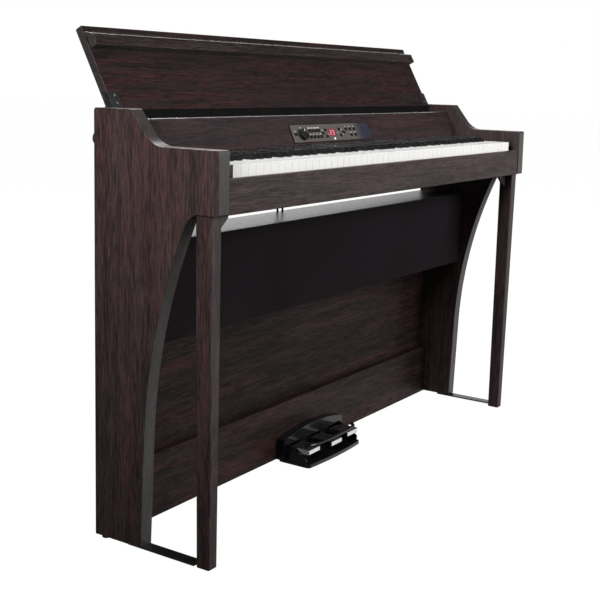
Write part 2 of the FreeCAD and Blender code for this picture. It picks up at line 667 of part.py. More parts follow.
slab = box("lid_slab", ("-Dims.lid_half", "Dims.lid_half"), ("0", "Dims.lid_thick"),
           ("0", "Dims.lid_length"))
doc.recompute()
bevel = doc.addObject("Part::Chamfer", "lid_bevel")
bevel.Base = slab
crest = [i + 1 for i, e in enumerate(slab.Shape.Edges)
         if lies_along(e, 0) and e.CenterOfMass.y > 1 and e.CenterOfMass.z > 1]
bevel.Edges = [(i, size("lid_chamfer"), size("lid_chamfer")) for i in crest]
keep(on_lid(bevel), "lid_board")

hinge_rail = box("hinge_rail", ("-Dims.hinge_rail_half", "Dims.hinge_rail_half"),
                 ("1", "Dims.lid_thick - 1"), ("-Dims.rail_drop", "0"))
keep(on_lid(group("hinge_rail_set", [hinge_rail])), "lid_hinge_rail")

lip_body = new_body("lip_body")
LIP = [V(0, size("lip_top"), 0), V(size("lip_out"), size("lip_chin"), 0),
       V(size("lip_out"), size("lip_low"), 0), V(0, size("lip_low"), 0)]
lip_sketch = attach(lip_body, "lip_section", "YZ_Plane", "-Dims.lip_half")
for i, corner in enumerate(LIP):
    lip_sketch.addGeometry(Part.LineSegment(corner, LIP[(i + 1) % len(LIP)]))
lip = pad(lip_body, lip_sketch, "2 * Dims.lip_half")
LIP_SPOTS = [("lip_out", "lip_chin")]
round_edges(lip_body, lip, along_x_at(LIP_SPOTS), "Dims.lip_round")
keep(on_lid(lip_body), "lid_lip")

limb_body = new_body("limb_body")
limb_sketch = attach(limb_body, "limb_outline", "YZ_Plane", "Dims.arm_in_x")
REACH, DROP, EYE = size("pivot_out"), size("pivot_drop"), size("eye_radius")
LIMB = [V(-3, size("leaf_long"), 0), V(-3, DROP + EYE, 0), V(REACH, DROP + EYE, 0),
        V(REACH, DROP - EYE, 0), V(size("limb_rear"), DROP - EYE, 0),
        V(size("limb_rear"), size("leaf_long"), 0)]
for i, corner in enumerate(LIMB):
    after = LIMB[(i + 1) % len(LIMB)]
    if i == 2:
        limb_sketch.addGeometry(Part.ArcOfCircle(corner, V(REACH - EYE, DROP, 0), after))
    else:
        limb_sketch.addGeometry(Part.LineSegment(corner, after))
pad(limb_body, limb_sketch, "Dims.arm_thick")
eye = attach(limb_body, "limb_eye", "YZ_Plane")
circle(eye, "pivot_out", "pivot_drop", "pin_hole")
pocket_through(limb_body, eye)
leaf = box("hinge_leaf", ("Dims.leaf_in_x", "Dims.arm_in_x"), ("-3", "0"), ("1", "Dims.leaf_long"))
leaf_screws = [rod("leaf_screw_%d" % i, "3.2", "1.2", "Dims.leaf_in_x + 12", "-4.2",
                   "%d" % z, V(0, 1, 0)) for i, z in enumerate((12, 29))]
tail = box("hinge_tail", ("Dims.lid_half - 10", "Dims.arm_in_x + Dims.arm_thick"),
           ("Dims.lid_thick", "Dims.lid_thick + 3"), ("4", "14"))
tail_web = box("hinge_tail_web", ("Dims.arm_in_x", "Dims.arm_in_x + Dims.arm_thick"),
               ("Dims.limb_rear - 1", "Dims.lid_thick + 3"), ("4", "14"))
right_arm = on_lid(fuse("hinge_arm", [limb_body, leaf, tail, tail_web] + leaf_screws))
pair("lid_hinge_arms", right_arm)

doc.recompute()
PIVOT = LID_PLACE.multVec(V(0, REACH, DROP))
boss = box("pin_plate", ("Dims.arm_in_x + Dims.arm_thick + 0.7", "Dims.board_half"),
           ("%f - 8" % PIVOT.y, "%f + 14" % PIVOT.y), ("%f - 12" % PIVOT.z, "%f + 12" % PIVOT.z))
pin = rod("pin", "Dims.pin_radius", "Dims.board_half - Dims.arm_in_x + 2",
          "Dims.arm_in_x - 2", "%f" % PIVOT.y, "%f" % PIVOT.z, V(1, 0, 0))
head = rod("pin_head", "Dims.pin_radius + 2", "2", "Dims.arm_in_x - 2.6",
           "%f" % PIVOT.y, "%f" % PIVOT.z, V(1, 0, 0))
pair("lid_hinge_brackets", fuse("hinge_bracket", [boss, pin, head]))

# ---------------------------------------------------------------- pedal unit

tray_body = new_body("tray_body")
tray_sketch = attach(tray_body, "tray_outline", "XY_Plane")
MID, HALF = size("unit_x"), size("unit_half")
TRAY = [V(MID - HALF, size("kick_front_y") - 0.2, 0), V(MID - HALF, size("tray_front_y") + 6, 0),
        V(MID + HALF, size("tray_front_y") + 6, 0), V(MID + HALF, size("kick_front_y") - 0.2, 0)]
for i, corner in enumerate(TRAY):
    after = TRAY[(i + 1) % len(TRAY)]
    if i == 1:
        tray_sketch.addGeometry(Part.ArcOfCircle(corner, V(MID, size("tray_front_y"), 0), after))
    else:
        tray_sketch.addGeometry(Part.LineSegment(corner, after))
tray = pad(tray_body, tray_sketch, "Dims.tray_z")


def tray_front_corner(edge):
    """True for the tray's two upright front edges."""
    return lies_along(edge, 2) and edge.CenterOfMass.y < 0


round_edges(tray_body, tray, tray_front_corner, "Dims.tray_round")
for label, start in (("left_wall", "Dims.unit_x - Dims.unit_half"),
                     ("right_wall", "Dims.unit_x + Dims.unit_half - Dims.wall_thick")):
    wall = outline(attach(tray_body, label, "YZ_Plane", start),
                   [("wall_toe_y", "wall_root_z"), ("housing_front_y", "wall_root_z"),
                    ("housing_front_y", "wall_top_z"), ("wall_toe_y", "wall_toe_z")])
    pad(tray_body, wall, "Dims.wall_thick")
keep(tray_body, "pedal_base")

housing_body = new_body("housing_body")
WIDE = size("housing_half")


def arch(sketch, half, shoulder, crown):
    """Upright outline with a crowned top."""
    left, right = V(MID - half, size("tray_z"), 0), V(MID + half, size("tray_z"), 0)
    top_left, top_right = V(MID - half, shoulder, 0), V(MID + half, shoulder, 0)
    sketch.addGeometry(Part.LineSegment(left, right))
    sketch.addGeometry(Part.LineSegment(right, top_right))
    sketch.addGeometry(Part.ArcOfCircle(top_right, V(MID, crown, 0), top_left))
    sketch.addGeometry(Part.LineSegment(top_left, left))
    return sketch


shell = attach(housing_body, "housing_shell", "XZ_Plane", "-Dims.kick_front_y + 0.2")
arch(shell, WIDE, size("shoulder_z"), size("crown_z"))
pad(housing_body, shell, "Dims.kick_front_y - 0.2 - Dims.housing_front_y")
slots = attach(housing_body, "pedal_slots", "XZ_Plane")
for step in (-1, 0, 1):
    x = MID + step * size("pedal_step")
    low, high, wide = size("window_low_z"), size("window_top_z"), size("slot_clear")
    ring = [V(x - wide, low, 0), V(x + wide, low, 0), V(x + wide, high, 0), V(x - wide, high, 0)]
    for i, corner in enumerate(ring):
        slots.addGeometry(Part.LineSegment(corner, ring[(i + 1) % 4]))
slot_cut = housing_body.newObject("PartDesign::Pocket", "slot_cut")
slot_cut.Profile = slots
slot_cut.Type = "ThroughAll"
slot_cut.Midplane = True
axle_bore = attach(housing_body, "axle_bore", "YZ_Plane")
circle(axle_bore, "axle_y", "axle_z", "axle_radius")
pocket_through(housing_body, axle_bore)
keep(housing_body, "pedal_housing")
keep(rod("axle", "Dims.axle_radius", "2 * Dims.unit_half - 8", "Dims.unit_x - Dims.unit_half + 4",
         "Dims.axle_y", "Dims.axle_z", V(1, 0, 0)), "pedal_shaft")


def at_pedal_tip(tip):
    """A test for the edges around a pedal's front end."""
    return lambda edge: edge.CenterOfMass.y < size(tip) + 0.1


def pedal(name, step, tip):
    """A flat bar pedal with a rounded tip, bored for the shaft."""
    body = new_body(name + "_body")
    start = "Dims.unit_x + %d * Dims.pedal_step - Dims.pedal_half" % step
    side = outline(attach(body, name + "_side", "YZ_Plane", start),
                   [(tip, "pedal_low_z"), ("pedal_rear_y", "pedal_low_z"),
                    ("pedal_rear_y", "pedal_top_z"), (tip, "pedal_top_z")])
    bar = pad(body, side, "2 * Dims.pedal_half")
    round_edges(body, bar, at_pedal_tip(tip), "Dims.pedal_round")
    bore = attach(body, name + "_bore", "YZ_Plane")
    circle(bore, "axle_y", "axle_z", "axle_hole")
    pocket_through(body, bore)
    return keep(body, name)


pedal("left_pedal", -1, "side_tip_y")
pedal("middle_pedal", 0, "pedal_tip_y")
pedal("right_pedal", 1, "side_tip_y")

# ---------------------------------------------------------------- leads held by the object

leads = [rod("lead_%d" % i, "2.5", "Dims.bed_z - Dims.box_top_z", "%d" % x, "96",
             "Dims.box_top_z", V(0, 0, 1)) for i, x in enumerate((-87, -67))]
keep(group("lead_pair", leads), "speaker_leads")

# ---------------------------------------------------------------- check and write

doc.recompute()
for obj in doc.Objects:
    if "Invalid" in obj.State or "Error" in obj.State:
        raise RuntimeError("failed object: " + obj.Label)
os.makedirs("parts", exist_ok=True)
for part in PARTS:
    shape = part.Shape
    if shape.isNull() or not shape.isValid():
        raise RuntimeError("bad shape: " + part.Label)
    shape.exportStep("parts/%s.step" % part.Label)
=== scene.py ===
"""Looks of a console digital piano on its stand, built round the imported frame. Metres, +Z up."""

import json
import logging
import math
from dataclasses import dataclass, field
from enum import Enum
from typing import Dict, List, Optional, Sequence, Tuple, Union

import bmesh
import bpy
import numpy as np
from mathutils import Matrix, Vector


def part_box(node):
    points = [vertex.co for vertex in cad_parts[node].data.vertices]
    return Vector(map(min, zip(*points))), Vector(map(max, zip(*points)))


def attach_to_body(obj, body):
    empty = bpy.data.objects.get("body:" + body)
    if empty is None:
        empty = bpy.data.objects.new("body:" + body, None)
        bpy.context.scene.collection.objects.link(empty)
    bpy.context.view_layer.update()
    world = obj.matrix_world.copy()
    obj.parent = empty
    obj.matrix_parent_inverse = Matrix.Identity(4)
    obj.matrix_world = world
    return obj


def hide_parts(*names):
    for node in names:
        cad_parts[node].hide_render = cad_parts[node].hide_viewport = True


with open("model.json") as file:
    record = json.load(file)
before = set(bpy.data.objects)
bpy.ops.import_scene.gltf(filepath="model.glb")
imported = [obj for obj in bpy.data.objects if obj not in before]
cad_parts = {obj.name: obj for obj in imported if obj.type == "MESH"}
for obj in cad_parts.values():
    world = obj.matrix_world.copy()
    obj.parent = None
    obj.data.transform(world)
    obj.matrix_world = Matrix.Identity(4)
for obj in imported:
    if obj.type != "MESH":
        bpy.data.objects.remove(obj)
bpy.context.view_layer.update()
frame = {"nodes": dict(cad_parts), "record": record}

log = logging.getLogger("piano")
Colour = Tuple[float, float, float]
Number = Union[int, float]
Value = Union["Wire", Number, Tuple[float, ...]]
MM = 0.001


# ------------------------------------------------------------------ shader graph


class Wire:
    """One output of a material's nodes that takes part in Python arithmetic."""

    def __init__(self, graph: "Graph", socket: bpy.types.NodeSocket) -> None:
        """Wraps a socket of a graph."""
        self.graph = graph
        self.socket = socket

    def _math(self, operation: str, first: Value, second: Value) -> "Wire":
        """Adds a Math node with the given operation on two values."""
        return self.graph.node("ShaderNodeMath", {"operation": operation}, {0: first, 1: second})

    def __add__(self, other: Value) -> "Wire":
        """self + other."""
        return self._math("ADD", self, other)

    __radd__ = __add__

    def __sub__(self, other: Value) -> "Wire":
        """self - other."""
        return self._math("SUBTRACT", self, other)

    def __rsub__(self, other: Value) -> "Wire":
        """other - self."""
        return self._math("SUBTRACT", other, self)

    def __mul__(self, other: Value) -> "Wire":
        """self * other."""
        return self._math("MULTIPLY", self, other)

    __rmul__ = __mul__

    def __abs__(self) -> "Wire":
        """The size of self without its sign."""
        return self._math("ABSOLUTE", self, 0.0)

    def sine(self) -> "Wire":
        """The sine of self, in radians."""
        return self._math("SINE", self, 0.0)

    def between(self, low: float, high: float) -> "Wire":
        """A smooth step: 0 below low, 1 above high."""
        ends = {"From Min": low, "From Max": high, "Value": self}
        return self.graph.node("ShaderNodeMapRange", {"interpolation_type": "SMOOTHSTEP"}, ends)


class Graph:
    """A new material and the nodes that make it."""

    def __init__(self, name: str) -> None:
        """Starts an empty material with only its output node.

        Args:
            name: the material's name.
        """
        self.material = bpy.data.materials.new(name)
        self.material.use_nodes = True
        self.tree = self.material.node_tree
        self.tree.nodes.clear()
        self.end = self.tree.nodes.new("ShaderNodeOutputMaterial")

    def node(self, kind: str, settings: Dict[str, object], inputs: Dict[Union[int, str], Value],
             output: Union[int, str] = 0) -> Wire:
        """Adds any node.

        Args:
            kind: the node's Blender type name.
            settings: attributes set before the inputs.
            inputs: values or wires by socket index or name.
            output: which output is returned.

        Returns:
            The chosen output as a Wire.
        """
        made = self.tree.nodes.new(kind)
        for key, value in settings.items():
            setattr(made, key, value)
        for key, value in inputs.items():
            if isinstance(value, Wire):
                self.tree.links.new(value.socket, made.inputs[key])
            else:
                made.inputs[key].default_value = value
        return Wire(self, made.outputs[output])

    def position(self, scale: Tuple[float, float, float] = (1.0, 1.0, 1.0),
                 turn: Tuple[float, float, float] = (0.0, 0.0, 0.0)) -> Wire:
        """Object coordinates, stretched and turned by a Mapping node."""
        where = self.node("ShaderNodeTexCoord", {}, {}, "Object")
        return self.node("ShaderNodeMapping", {}, {"Vector": where, "Scale": scale, "Rotation": turn})

    def axes(self) -> Tuple[Wire, Wire, Wire]:
        """Object coordinates as three separate values.

        Returns:
            x, y and z in metres.
        """
        where = self.node("ShaderNodeTexCoord", {}, {}, "Object")
        parts = self.node("ShaderNodeSeparateXYZ", {}, {0: where})
        outputs = parts.socket.node.outputs
        return Wire(self, outputs[0]), Wire(self, outputs[1]), Wire(self, outputs[2])

    def noise(self, place: Wire, scale: float, detail: float = 3.0, rough: float = 0.5,
              bend: float = 0.0) -> Wire:
        """Fractal noise from 0 to 1 at a place.

        Args:
            place: where it is read.
            scale: cells per metre.
            detail: how many finer layers are added.
            rough: strength of the finer layers.
            bend: how far the pattern is distorted.

        Returns:
            The noise value.
        """
        values = {"Vector": place, "Scale": scale, "Detail": detail, "Roughness": rough,
                  "Distortion": bend}
        return self.node("ShaderNodeTexNoise", {}, values)

    def mix(self, share: Value, under: Value, over: Value) -> Wire:
        """Colour that goes from under to over with share."""
        rgba = [value if isinstance(value, Wire) else (*value[:3], 1.0) for value in (under, over)]
        return self.node("ShaderNodeMix", {"data_type": "RGBA"}, {0: share, 6: rgba[0], 7: rgba[1]}, 2)

    def bump(self, height: Wire, depth: float, strength: float = 1.0) -> Wire:
        """A normal raised by height times depth metres."""
        return self.node("ShaderNodeBump", {}, {"Height": height, "Distance": depth, "Strength": strength})

    def surface(self, **inputs: Value) -> bpy.types.Material:
        """Ends the graph in a Principled surface.

        Args:
            **inputs: socket names with underscores for spaces, and their values or wires.

        Returns:
            The finished material.
        """
        named = {key.replace("_", " "): value for key, value in inputs.items()}
        for key in ("Base Color", "Emission Color"):
            if key in named and not isinstance(named[key], Wire):
                named[key] = (*named[key][:3], 1.0)
        shader = self.node("ShaderNodeBsdfPrincipled", {}, named)
        self.tree.links.new(shader.socket, self.end.inputs["Surface"])
        return self.material


# ------------------------------------------------------------------ finishes


class Grain(Enum):
    """Which way the printed wood grain runs: the stretch of the pattern along each axis."""

    UPRIGHT = (1.0, 1.0, 0.07)
    ALONG = (0.07, 1.0, 1.0)
    DEEP = (1.0, 0.07, 1.0)


@dataclass(frozen=True)
class Laminate:
    """Dark rosewood-look laminate: drifting figure, fine streaks, short pores, satin sheen."""

    name: str
    grain: Grain
    dark: Colour = (0.012, 0.0062, 0.0060)
    pale: Colour = (0.058, 0.036, 0.036)
    warm: Colour = (0.078, 0.022, 0.021)
    figure: float = 0.6
    redness: float = 0.42
    gloss: float = 0.46
    shine: float = 0.32

    def build(self) -> bpy.types.Material:
        """Makes the material.

        Returns:
            Colour = dark to pale by figure, reddened in bands, broken by pores.
        """
        g = Graph(self.name)
        place = g.position(self.grain.value)
        broad = g.noise(place, 48.0, 4.0, 0.6, self.figure)
        streak = g.noise(place, 330.0, 4.0, 0.7, self.figure * 0.5)
        fine = g.noise(place, 800.0, 2.0, 0.6)
        pore = g.noise(place, 1100.0, 1.0, 0.5)
        band = g.noise(place, 24.0, 2.0, 0.5, self.figure)
        tone = (broad * 0.3 + streak * 0.52 + fine * 0.18).between(0.41, 0.61)
        colour = g.mix(tone, self.dark, self.pale)
        red = band.between(0.44, 0.60) * streak.between(0.44, 0.60) * self.redness
        colour = g.mix(red, colour, self.warm)
        pores = pore.between(0.6, 0.7)
        colour = g.mix(pores * 0.6, colour, tuple(0.35 * part for part in self.dark))
        rough = fine * 0.14 - tone * 0.05 + pores * 0.12 + (self.gloss - 0.07)
        height = fine * 0.4 + streak * 0.4 - pores * 0.8
        return g.surface(Base_Color=colour, Roughness=rough, Specular_IOR_Level=self.shine,
                         Normal=g.bump(height, 0.00012, 0.55))


@dataclass(frozen=True)
class Plastic:
    """Moulded or painted surface: even colour with faint mottling, fine texture and handling marks."""

    name: str
    colour: Colour
    rough: float = 0.45
    texture: float = 0.00004
    texture_scale: float = 900.0
    marks: float = 0.08
    coat: float = 0.0
    mottle: float = 0.16
    shine: float = 0.5

    def build(self) -> bpy.types.Material:
        """Makes the material.

        Returns:
            Colour varies a little with slow noise, roughness with faint rubbed marks.
        """
        g = Graph(self.name)
        place = g.position()
        slow = g.noise(place, 18.0, 4.0, 0.6)
        rub = g.noise(g.position((1.0, 0.25, 1.0), (0.3, 0.5, 0.9)), 60.0, 6.0, 0.75)
        grit = g.noise(place, self.texture_scale, 2.0, 0.5)
        lighter = tuple(min(1.0, part * (1 + self.mottle) + 0.01 * self.mottle) for part in self.colour)
        darker = tuple(part * (1 - self.mottle) for part in self.colour)
        colour = g.mix(slow.between(0.3, 0.7), darker, lighter)
        rough = rub.between(0.45, 0.8) * self.marks + grit * self.marks * 0.5 + self.rough
        return g.surface(Base_Color=colour, Roughness=rough, Normal=g.bump(grit, self.texture, 0.7),
                         Coat_Weight=self.coat, Coat_Roughness=0.03, Specular_IOR_Level=self.shine)


@dataclass(frozen=True)
class Metal:
    """Bare or plated metal with a brushed direction and finger smudges."""

    name: str
    colour: Colour
    rough: float = 0.22
    brushed: Tuple[float, float, float] = (0.04, 1.0, 1.0)
    smudge: float = 0.12

    def build(self) -> bpy.types.Material:
        """Makes the material.

        Returns:
            Metallic colour, with roughness from brushing lines and slow smudges.
        """
        g = Graph(self.name)
        lines = g.noise(g.position(self.brushed), 1500.0, 2.0, 0.6)
        slow = g.noise(g.position(), 42.0, 4.0, 0.6)
        darker = tuple(part * 0.8 for part in self.colour)
        colour = g.mix(slow.between(0.35, 0.75), self.colour, darker)
        rough = slow.between(0.45, 0.8) * self.smudge + lines * self.smudge * 0.4 + self.rough
        return g.surface(Base_Color=colour, Roughness=rough, Metallic=1.0,
                         Normal=g.bump(lines, 0.00001, 0.4))


@dataclass(frozen=True)
class Cloth:
    """Woven loudspeaker cloth: warp and weft threads crossing over a dark core."""

    name: str
    thread: Colour = (0.0095, 0.0062, 0.0088)
    gap: Colour = (0.003, 0.002, 0.003)
    pitch: float = 0.0012

    def build(self) -> bpy.types.Material:
        """Makes the material.

        Returns:
            Height = |sin(x)| on rows where sin(x) sin(z) > 0, else |sin(z)|: a plain weave.
        """
        g = Graph(self.name)
        x, _, z = g.axes()
        turn = math.pi / self.pitch
        across, up = (x * turn).sine(), (z * turn).sine()
        over = (across * up).between(-0.1, 0.1)
        weave = over * abs(across) + (1 - over) * abs(up)
        slub = g.noise(g.position((0.2, 1.0, 1.0)), 300.0, 3.0, 0.6)
        slow = g.noise(g.position(), 5.0, 2.0, 0.5)
        colour = g.mix(weave * 0.8 + slub * 0.2, self.gap, self.thread)
        colour = g.mix(slow.between(0.3, 0.7) * 0.25, colour, tuple(1.5 * part for part in self.thread))
        return g.surface(Base_Color=colour, Roughness=slub * 0.1 + 0.82,
                         Normal=g.bump(weave + slub * 0.3, 0.00012, 0.6), Sheen_Weight=0.03,
                         Sheen_Roughness=0.5, Specular_IOR_Level=0.08)


@dataclass(frozen=True)
class ControlPlate:
    """Anodised bronze-grey plate that turns dark blue towards its right-hand end."""

    name: str
    bronze: Colour = (0.115, 0.098, 0.092)
    blue: Colour = (0.022, 0.026, 0.045)
    turn_x: float = 0.121
    blend: float = 0.022

    def build(self) -> bpy.types.Material:
        """Makes the material.

        Returns:
            Colour goes from bronze to blue as x passes turn_x, with paler specks painted in as glints of a
            fine sparkle.
        """
        g = Graph(self.name)
        x, _, _ = g.axes()
        end = x.between(self.turn_x - self.blend, self.turn_x + self.blend)
        sparkle = g.noise(g.position(), 2600.0, 1.0, 0.5)
        slow = g.noise(g.position(), 30.0, 3.0, 0.5)
        colour = g.mix(end, self.bronze, self.blue)
        # paler bronze in the specks is painted glint: the catch of light on the sparkle put into the colour
        lit = tuple(1.35 * part for part in self.bronze)
        colour = g.mix(sparkle.between(0.5, 0.8) * (1 - end) * 0.5, colour, lit)
        rough = slow * 0.08 + sparkle * 0.1 + 0.3
        return g.surface(Base_Color=colour, Roughness=rough, Metallic=0.35,
                         Normal=g.bump(sparkle, 0.00002, 0.5))


@dataclass(frozen=True)
class CircuitBoard:
    """Green solder resist with pale copper tracks under it."""

    name: str
    green: Colour = (0.012, 0.085, 0.03)
    track: Colour = (0.05, 0.2, 0.07)

    def build(self) -> bpy.types.Material:
        """Makes the material.

        Returns:
            Tracks are the thin walls between the cells of a squared cell pattern.
        """
        g = Graph(self.name)
        cell = g.node("ShaderNodeTexVoronoi", {"feature": "DISTANCE_TO_EDGE"},
                      {"Vector": g.position((1.0, 0.6, 1.0)), "Scale": 130.0})
        wall = 1 - cell.between(0.02, 0.06)
        colour = g.mix(wall, self.green, self.track)
        return g.surface(Base_Color=colour, Roughness=wall * 0.1 + 0.3,
                         Normal=g.bump(wall, 0.00003, 0.6))


@dataclass(frozen=True)
class Lamp:
    """Lit display segment, window glow or small signal lamp."""

    name: str
    glow: Colour
    power: float
    body: Colour = (0.05, 0.004, 0.004)
    rough: float = 0.2

    def build(self) -> bpy.types.Material:
        """Makes the material.

        Returns:
            A dark lens whose own light is mottled a little by its diffuser.
        """
        g = Graph(self.name)
        mottle = g.noise(g.position(), 1400.0, 2.0, 0.5)
        dim = tuple(part * 0.55 for part in self.glow)
        return g.surface(Base_Color=self.body, Roughness=mottle * 0.1 + self.rough,
                         Emission_Color=g.mix(mottle.between(0.3, 0.7), dim, self.glow),
                         Emission_Strength=self.power)


@dataclass(frozen=True)
class PaleFloor:
    """Plain studio floor: a pale matte surface that is lit through, so it shows almost white."""

    name: str
    white: float = 0.985
    paint: float = 0.05

    def build(self) -> bpy.types.Material:
        """Makes the material.

        Returns:
            A grey matte surface with a steady light of its own.
        """
        g = Graph(self.name)
        mottle = g.noise(g.position(), 0.6, 2.0, 0.5)
        return g.surface(Base_Color=(self.paint,) * 3, Roughness=mottle * 0.02 + 0.9,
                         Specular_IOR_Level=0.0, Emission_Color=(1.0, 1.0, 1.0),
                         Emission_Strength=self.white)


Finish = Union[Laminate, Plastic, Metal, Cloth, ControlPlate, CircuitBoard, Lamp, PaleFloor]


class Paintbox:
    """Builds each finish once and hands out its material."""

    def __init__(self) -> None:
        """Starts with nothing built."""
        self.made: Dict[str, bpy.types.Material] = {}

    def get(self, finish: Finish) -> bpy.types.Material:
        """The material of a finish, built on first use.

        Args:
            finish: the finish wanted.

        Returns:
            Its material, shared by every piece that has it.
        """
        if finish.name not in self.made:
            self.made[finish.name] = finish.build()
        return self.made[finish.name]


PAINT = Paintbox()
PANEL = Laminate("panel_laminate", Grain.UPRIGHT)
LEG = Laminate("leg_laminate", Grain.UPRIGHT)
BOARD = Laminate("board_laminate", Grain.ALONG, dark=(0.009, 0.0045, 0.0043),
                 pale=(0.036, 0.021, 0.020), shine=0.10)
BACK = Laminate("back_laminate", Grain.ALONG, dark=(0.008, 0.0048, 0.0044), pale=(0.031, 0.019, 0.0175),
                gloss=0.5, shine=0.08)
# the lid's dark, pale and warm colours are painted shade: the same rosewood laminate made darker than the
# panels to stand in for the shade on the lid's tipped-back inner face; its stronger figure and redness are
# its own grain
LID = Laminate("lid_laminate_painted_shade", Grain.ALONG, figure=1.9, redness=0.55, dark=(0.007, 0.0034, 0.0034),
              pale=(0.029, 0.0165, 0.0172), warm=(0.060, 0.015, 0.015), shine=0.16)
LIP = Laminate("lip_laminate", Grain.ALONG, pale=(0.042, 0.029, 0.030), redness=0.3, gloss=0.14,
               shine=0.5)
NAME = Laminate("name_laminate", Grain.ALONG, dark=(0.013, 0.008, 0.009), pale=(0.042, 0.0265, 0.029),
                redness=0.4, gloss=0.42, shine=0.16)
RAIL = Laminate("rail_laminate", Grain.ALONG, dark=(0.016, 0.010, 0.010), pale=(0.070, 0.046, 0.044),
                redness=0.3, shine=0.16)
HIDDEN = Laminate("plain_board", Grain.ALONG, dark=(0.012, 0.009, 0.008), pale=(0.03, 0.022, 0.02),
                  redness=0.2, gloss=0.6)
ROOF = Laminate("box_laminate", Grain.ALONG, dark=(0.012, 0.0095, 0.0095), pale=(0.022, 0.018, 0.018),
                redness=0.2, gloss=0.34, shine=0.05)
BAND = Laminate("edge_band", Grain.UPRIGHT, dark=(0.018, 0.0145, 0.014), pale=(0.046, 0.038, 0.036),
                warm=(0.05, 0.036, 0.030), redness=0.3, gloss=0.32, shine=0.45)
LID_BAND = Laminate("lid_edge_band", Grain.DEEP, dark=(0.016, 0.014, 0.014), pale=(0.036, 0.031, 0.031),
                    warm=(0.038, 0.028, 0.026), redness=0.3, gloss=0.4)
POWDER = Plastic("black_powder_coat", (0.006, 0.006, 0.007), 0.42, 0.00006, 1500.0)
HINGE = Plastic("hinge_black", (0.005, 0.0055, 0.006), 0.40, 0.00003, 1200.0)
MATTE = Plastic("matte_black", (0.008, 0.008, 0.008), 0.62, 0.00005, 1300.0, shine=0.3)
# near-black for the lid well and hinge rail, darker than the other black plastics: partly the parts' own
# black, partly painted shade of the recess under the open lid
WELL_BLACK_AND_SHADE = Plastic("recess_black_and_painted_shade", (0.0012, 0.0012, 0.0014), 0.85, 0.00004, 900.0, shine=0.1)
CASE_GLOSS = Plastic("pedal_case_gloss", (0.004, 0.004, 0.0055), 0.14, 0.00001, 420.0, 0.10, 0.1,
                     shine=0.35)
KNOB_BLACK = Plastic("knob_black", (0.003, 0.003, 0.0035), 0.38, 0.00002, 1400.0, 0.10, shine=0.2)
CAP = Plastic("button_black", (0.003, 0.003, 0.0035), 0.40, 0.00003, 1800.0, shine=0.15)
OUTLINE = Plastic("plate_outline", (0.003, 0.003, 0.003), 0.5, 0.00002, 1500.0, shine=0.15)
GLASS = Lamp("display_red", (0.27, 0.030, 0.060), 1.0)
DIGIT = Lamp("display_digit", (1.0, 0.42, 0.46), 1.5)
# pale metal of the name board's bead: a painted highlight along the board's top edge, not a real trim
HIGHLIGHT_BEAD = Metal("bead_for_painted_highlight", (0.62, 0.60, 0.60), 0.16)
SPOT = Lamp("signal_lamp", (1.0, 1.0, 0.98), 1.1, (0.6, 0.6, 0.6))
PRINT = Plastic("pale_print", (0.62, 0.62, 0.62), 0.5, 0.00001, 900.0)
IVORY = Plastic("white_key", (0.91, 0.905, 0.885), 0.12, 0.000004, 900.0, 0.05, 0.3, 0.02)
EBONY = Plastic("black_key", (0.010, 0.010, 0.011), 0.12, 0.000002, 500.0, 0.03, 0.1, shine=0.3)
RUBBER = Plastic("soft_rubber", (0.010, 0.010, 0.010), 0.72, 0.00008, 800.0, shine=0.3)
CHROME = Metal("pedal_chrome", (0.78, 0.78, 0.79), 0.07, (1.0, 0.05, 1.0), 0.08)
STEEL = Metal("ground_steel", (0.55, 0.55, 0.56))
SCREW = Metal("screw_steel", (0.16, 0.165, 0.17), 0.42)
SHEET = Metal("pressed_sheet", (0.42, 0.42, 0.43), 0.4)
BOARD_GREEN = CircuitBoard("circuit_board")
PLATE = ControlPlate("control_plate")
CLOTH = Cloth("speaker_cloth")
FLOOR = PaleFloor("studio_floor_paint")

NODE_FINISH: Dict[str, Finish] = {
    "left_side_panel": PANEL, "right_side_panel": PANEL, "left_front_leg": LEG, "right_front_leg": LEG,
    "leg_brackets": POWDER, "floor_bars": POWDER, "rear_feet": MATTE, "wall_bumpers": RUBBER,
    "back_board": BACK, "kick_board": BOARD, "corner_brackets": MATTE, "speaker_box": ROOF,
    "speaker_grille": CLOTH, "speaker_drivers": POWDER, "key_bed": HIDDEN, "front_rail": RAIL,
    "end_blocks": MATTE, "key_pivot_rod": STEEL, "key_frame": SHEET, "key_contact_board": BOARD_GREEN,
    "main_circuit_board": BOARD_GREEN, "rear_cover": HIDDEN, "lid_well": WELL_BLACK_AND_SHADE, "socket_box": MATTE,
    "name_board": NAME, "control_panel": PLATE, "display_window": GLASS,
    "control_circuit_board": BOARD_GREEN, "lid_board": LID, "lid_hinge_rail": WELL_BLACK_AND_SHADE, "lid_lip": LIP,
    "lid_hinge_arms": HINGE, "lid_hinge_brackets": HINGE, "pedal_base": CASE_GLOSS,
    "pedal_housing": CASE_GLOSS, "pedal_shaft": STEEL, "left_pedal": CHROME, "middle_pedal": CHROME,
    "right_pedal": CHROME, "speaker_leads": RUBBER, "power_button": CAP, "upper_left_buttons": CAP,
    "lower_left_buttons": CAP, "left_menu_buttons": CAP, "right_menu_buttons": CAP,
    "upper_right_buttons": CAP, "lower_right_buttons": CAP,
}
for note in "cdefgab":
    NODE_FINISH[note + "_keys"] = IVORY
for note in "cdfga":
    NODE_FINISH[note + "_sharp_keys"] = EBONY


# ------------------------------------------------------------------ making pieces

SHARP_FROM = 32.0  # degrees an edge turns by before it is rounded
WELD = 2e-6  # metres within which corners of a node are one
FLAT_WITHIN = 0.002  # radians within which neighbouring faces are one
SQUARE_FROM = 0.7  # share of a normal along an axis that makes a face square to it

BODY_OF: Dict[str, str] = {
    node: body for body, nodes in frame["record"]["behaviour"]["bodies"].items() for node in nodes}
SLOT_OF: Dict[str, str] = {
    part["node"]: part["material_slot"] for part in frame["record"]["subparts"]}


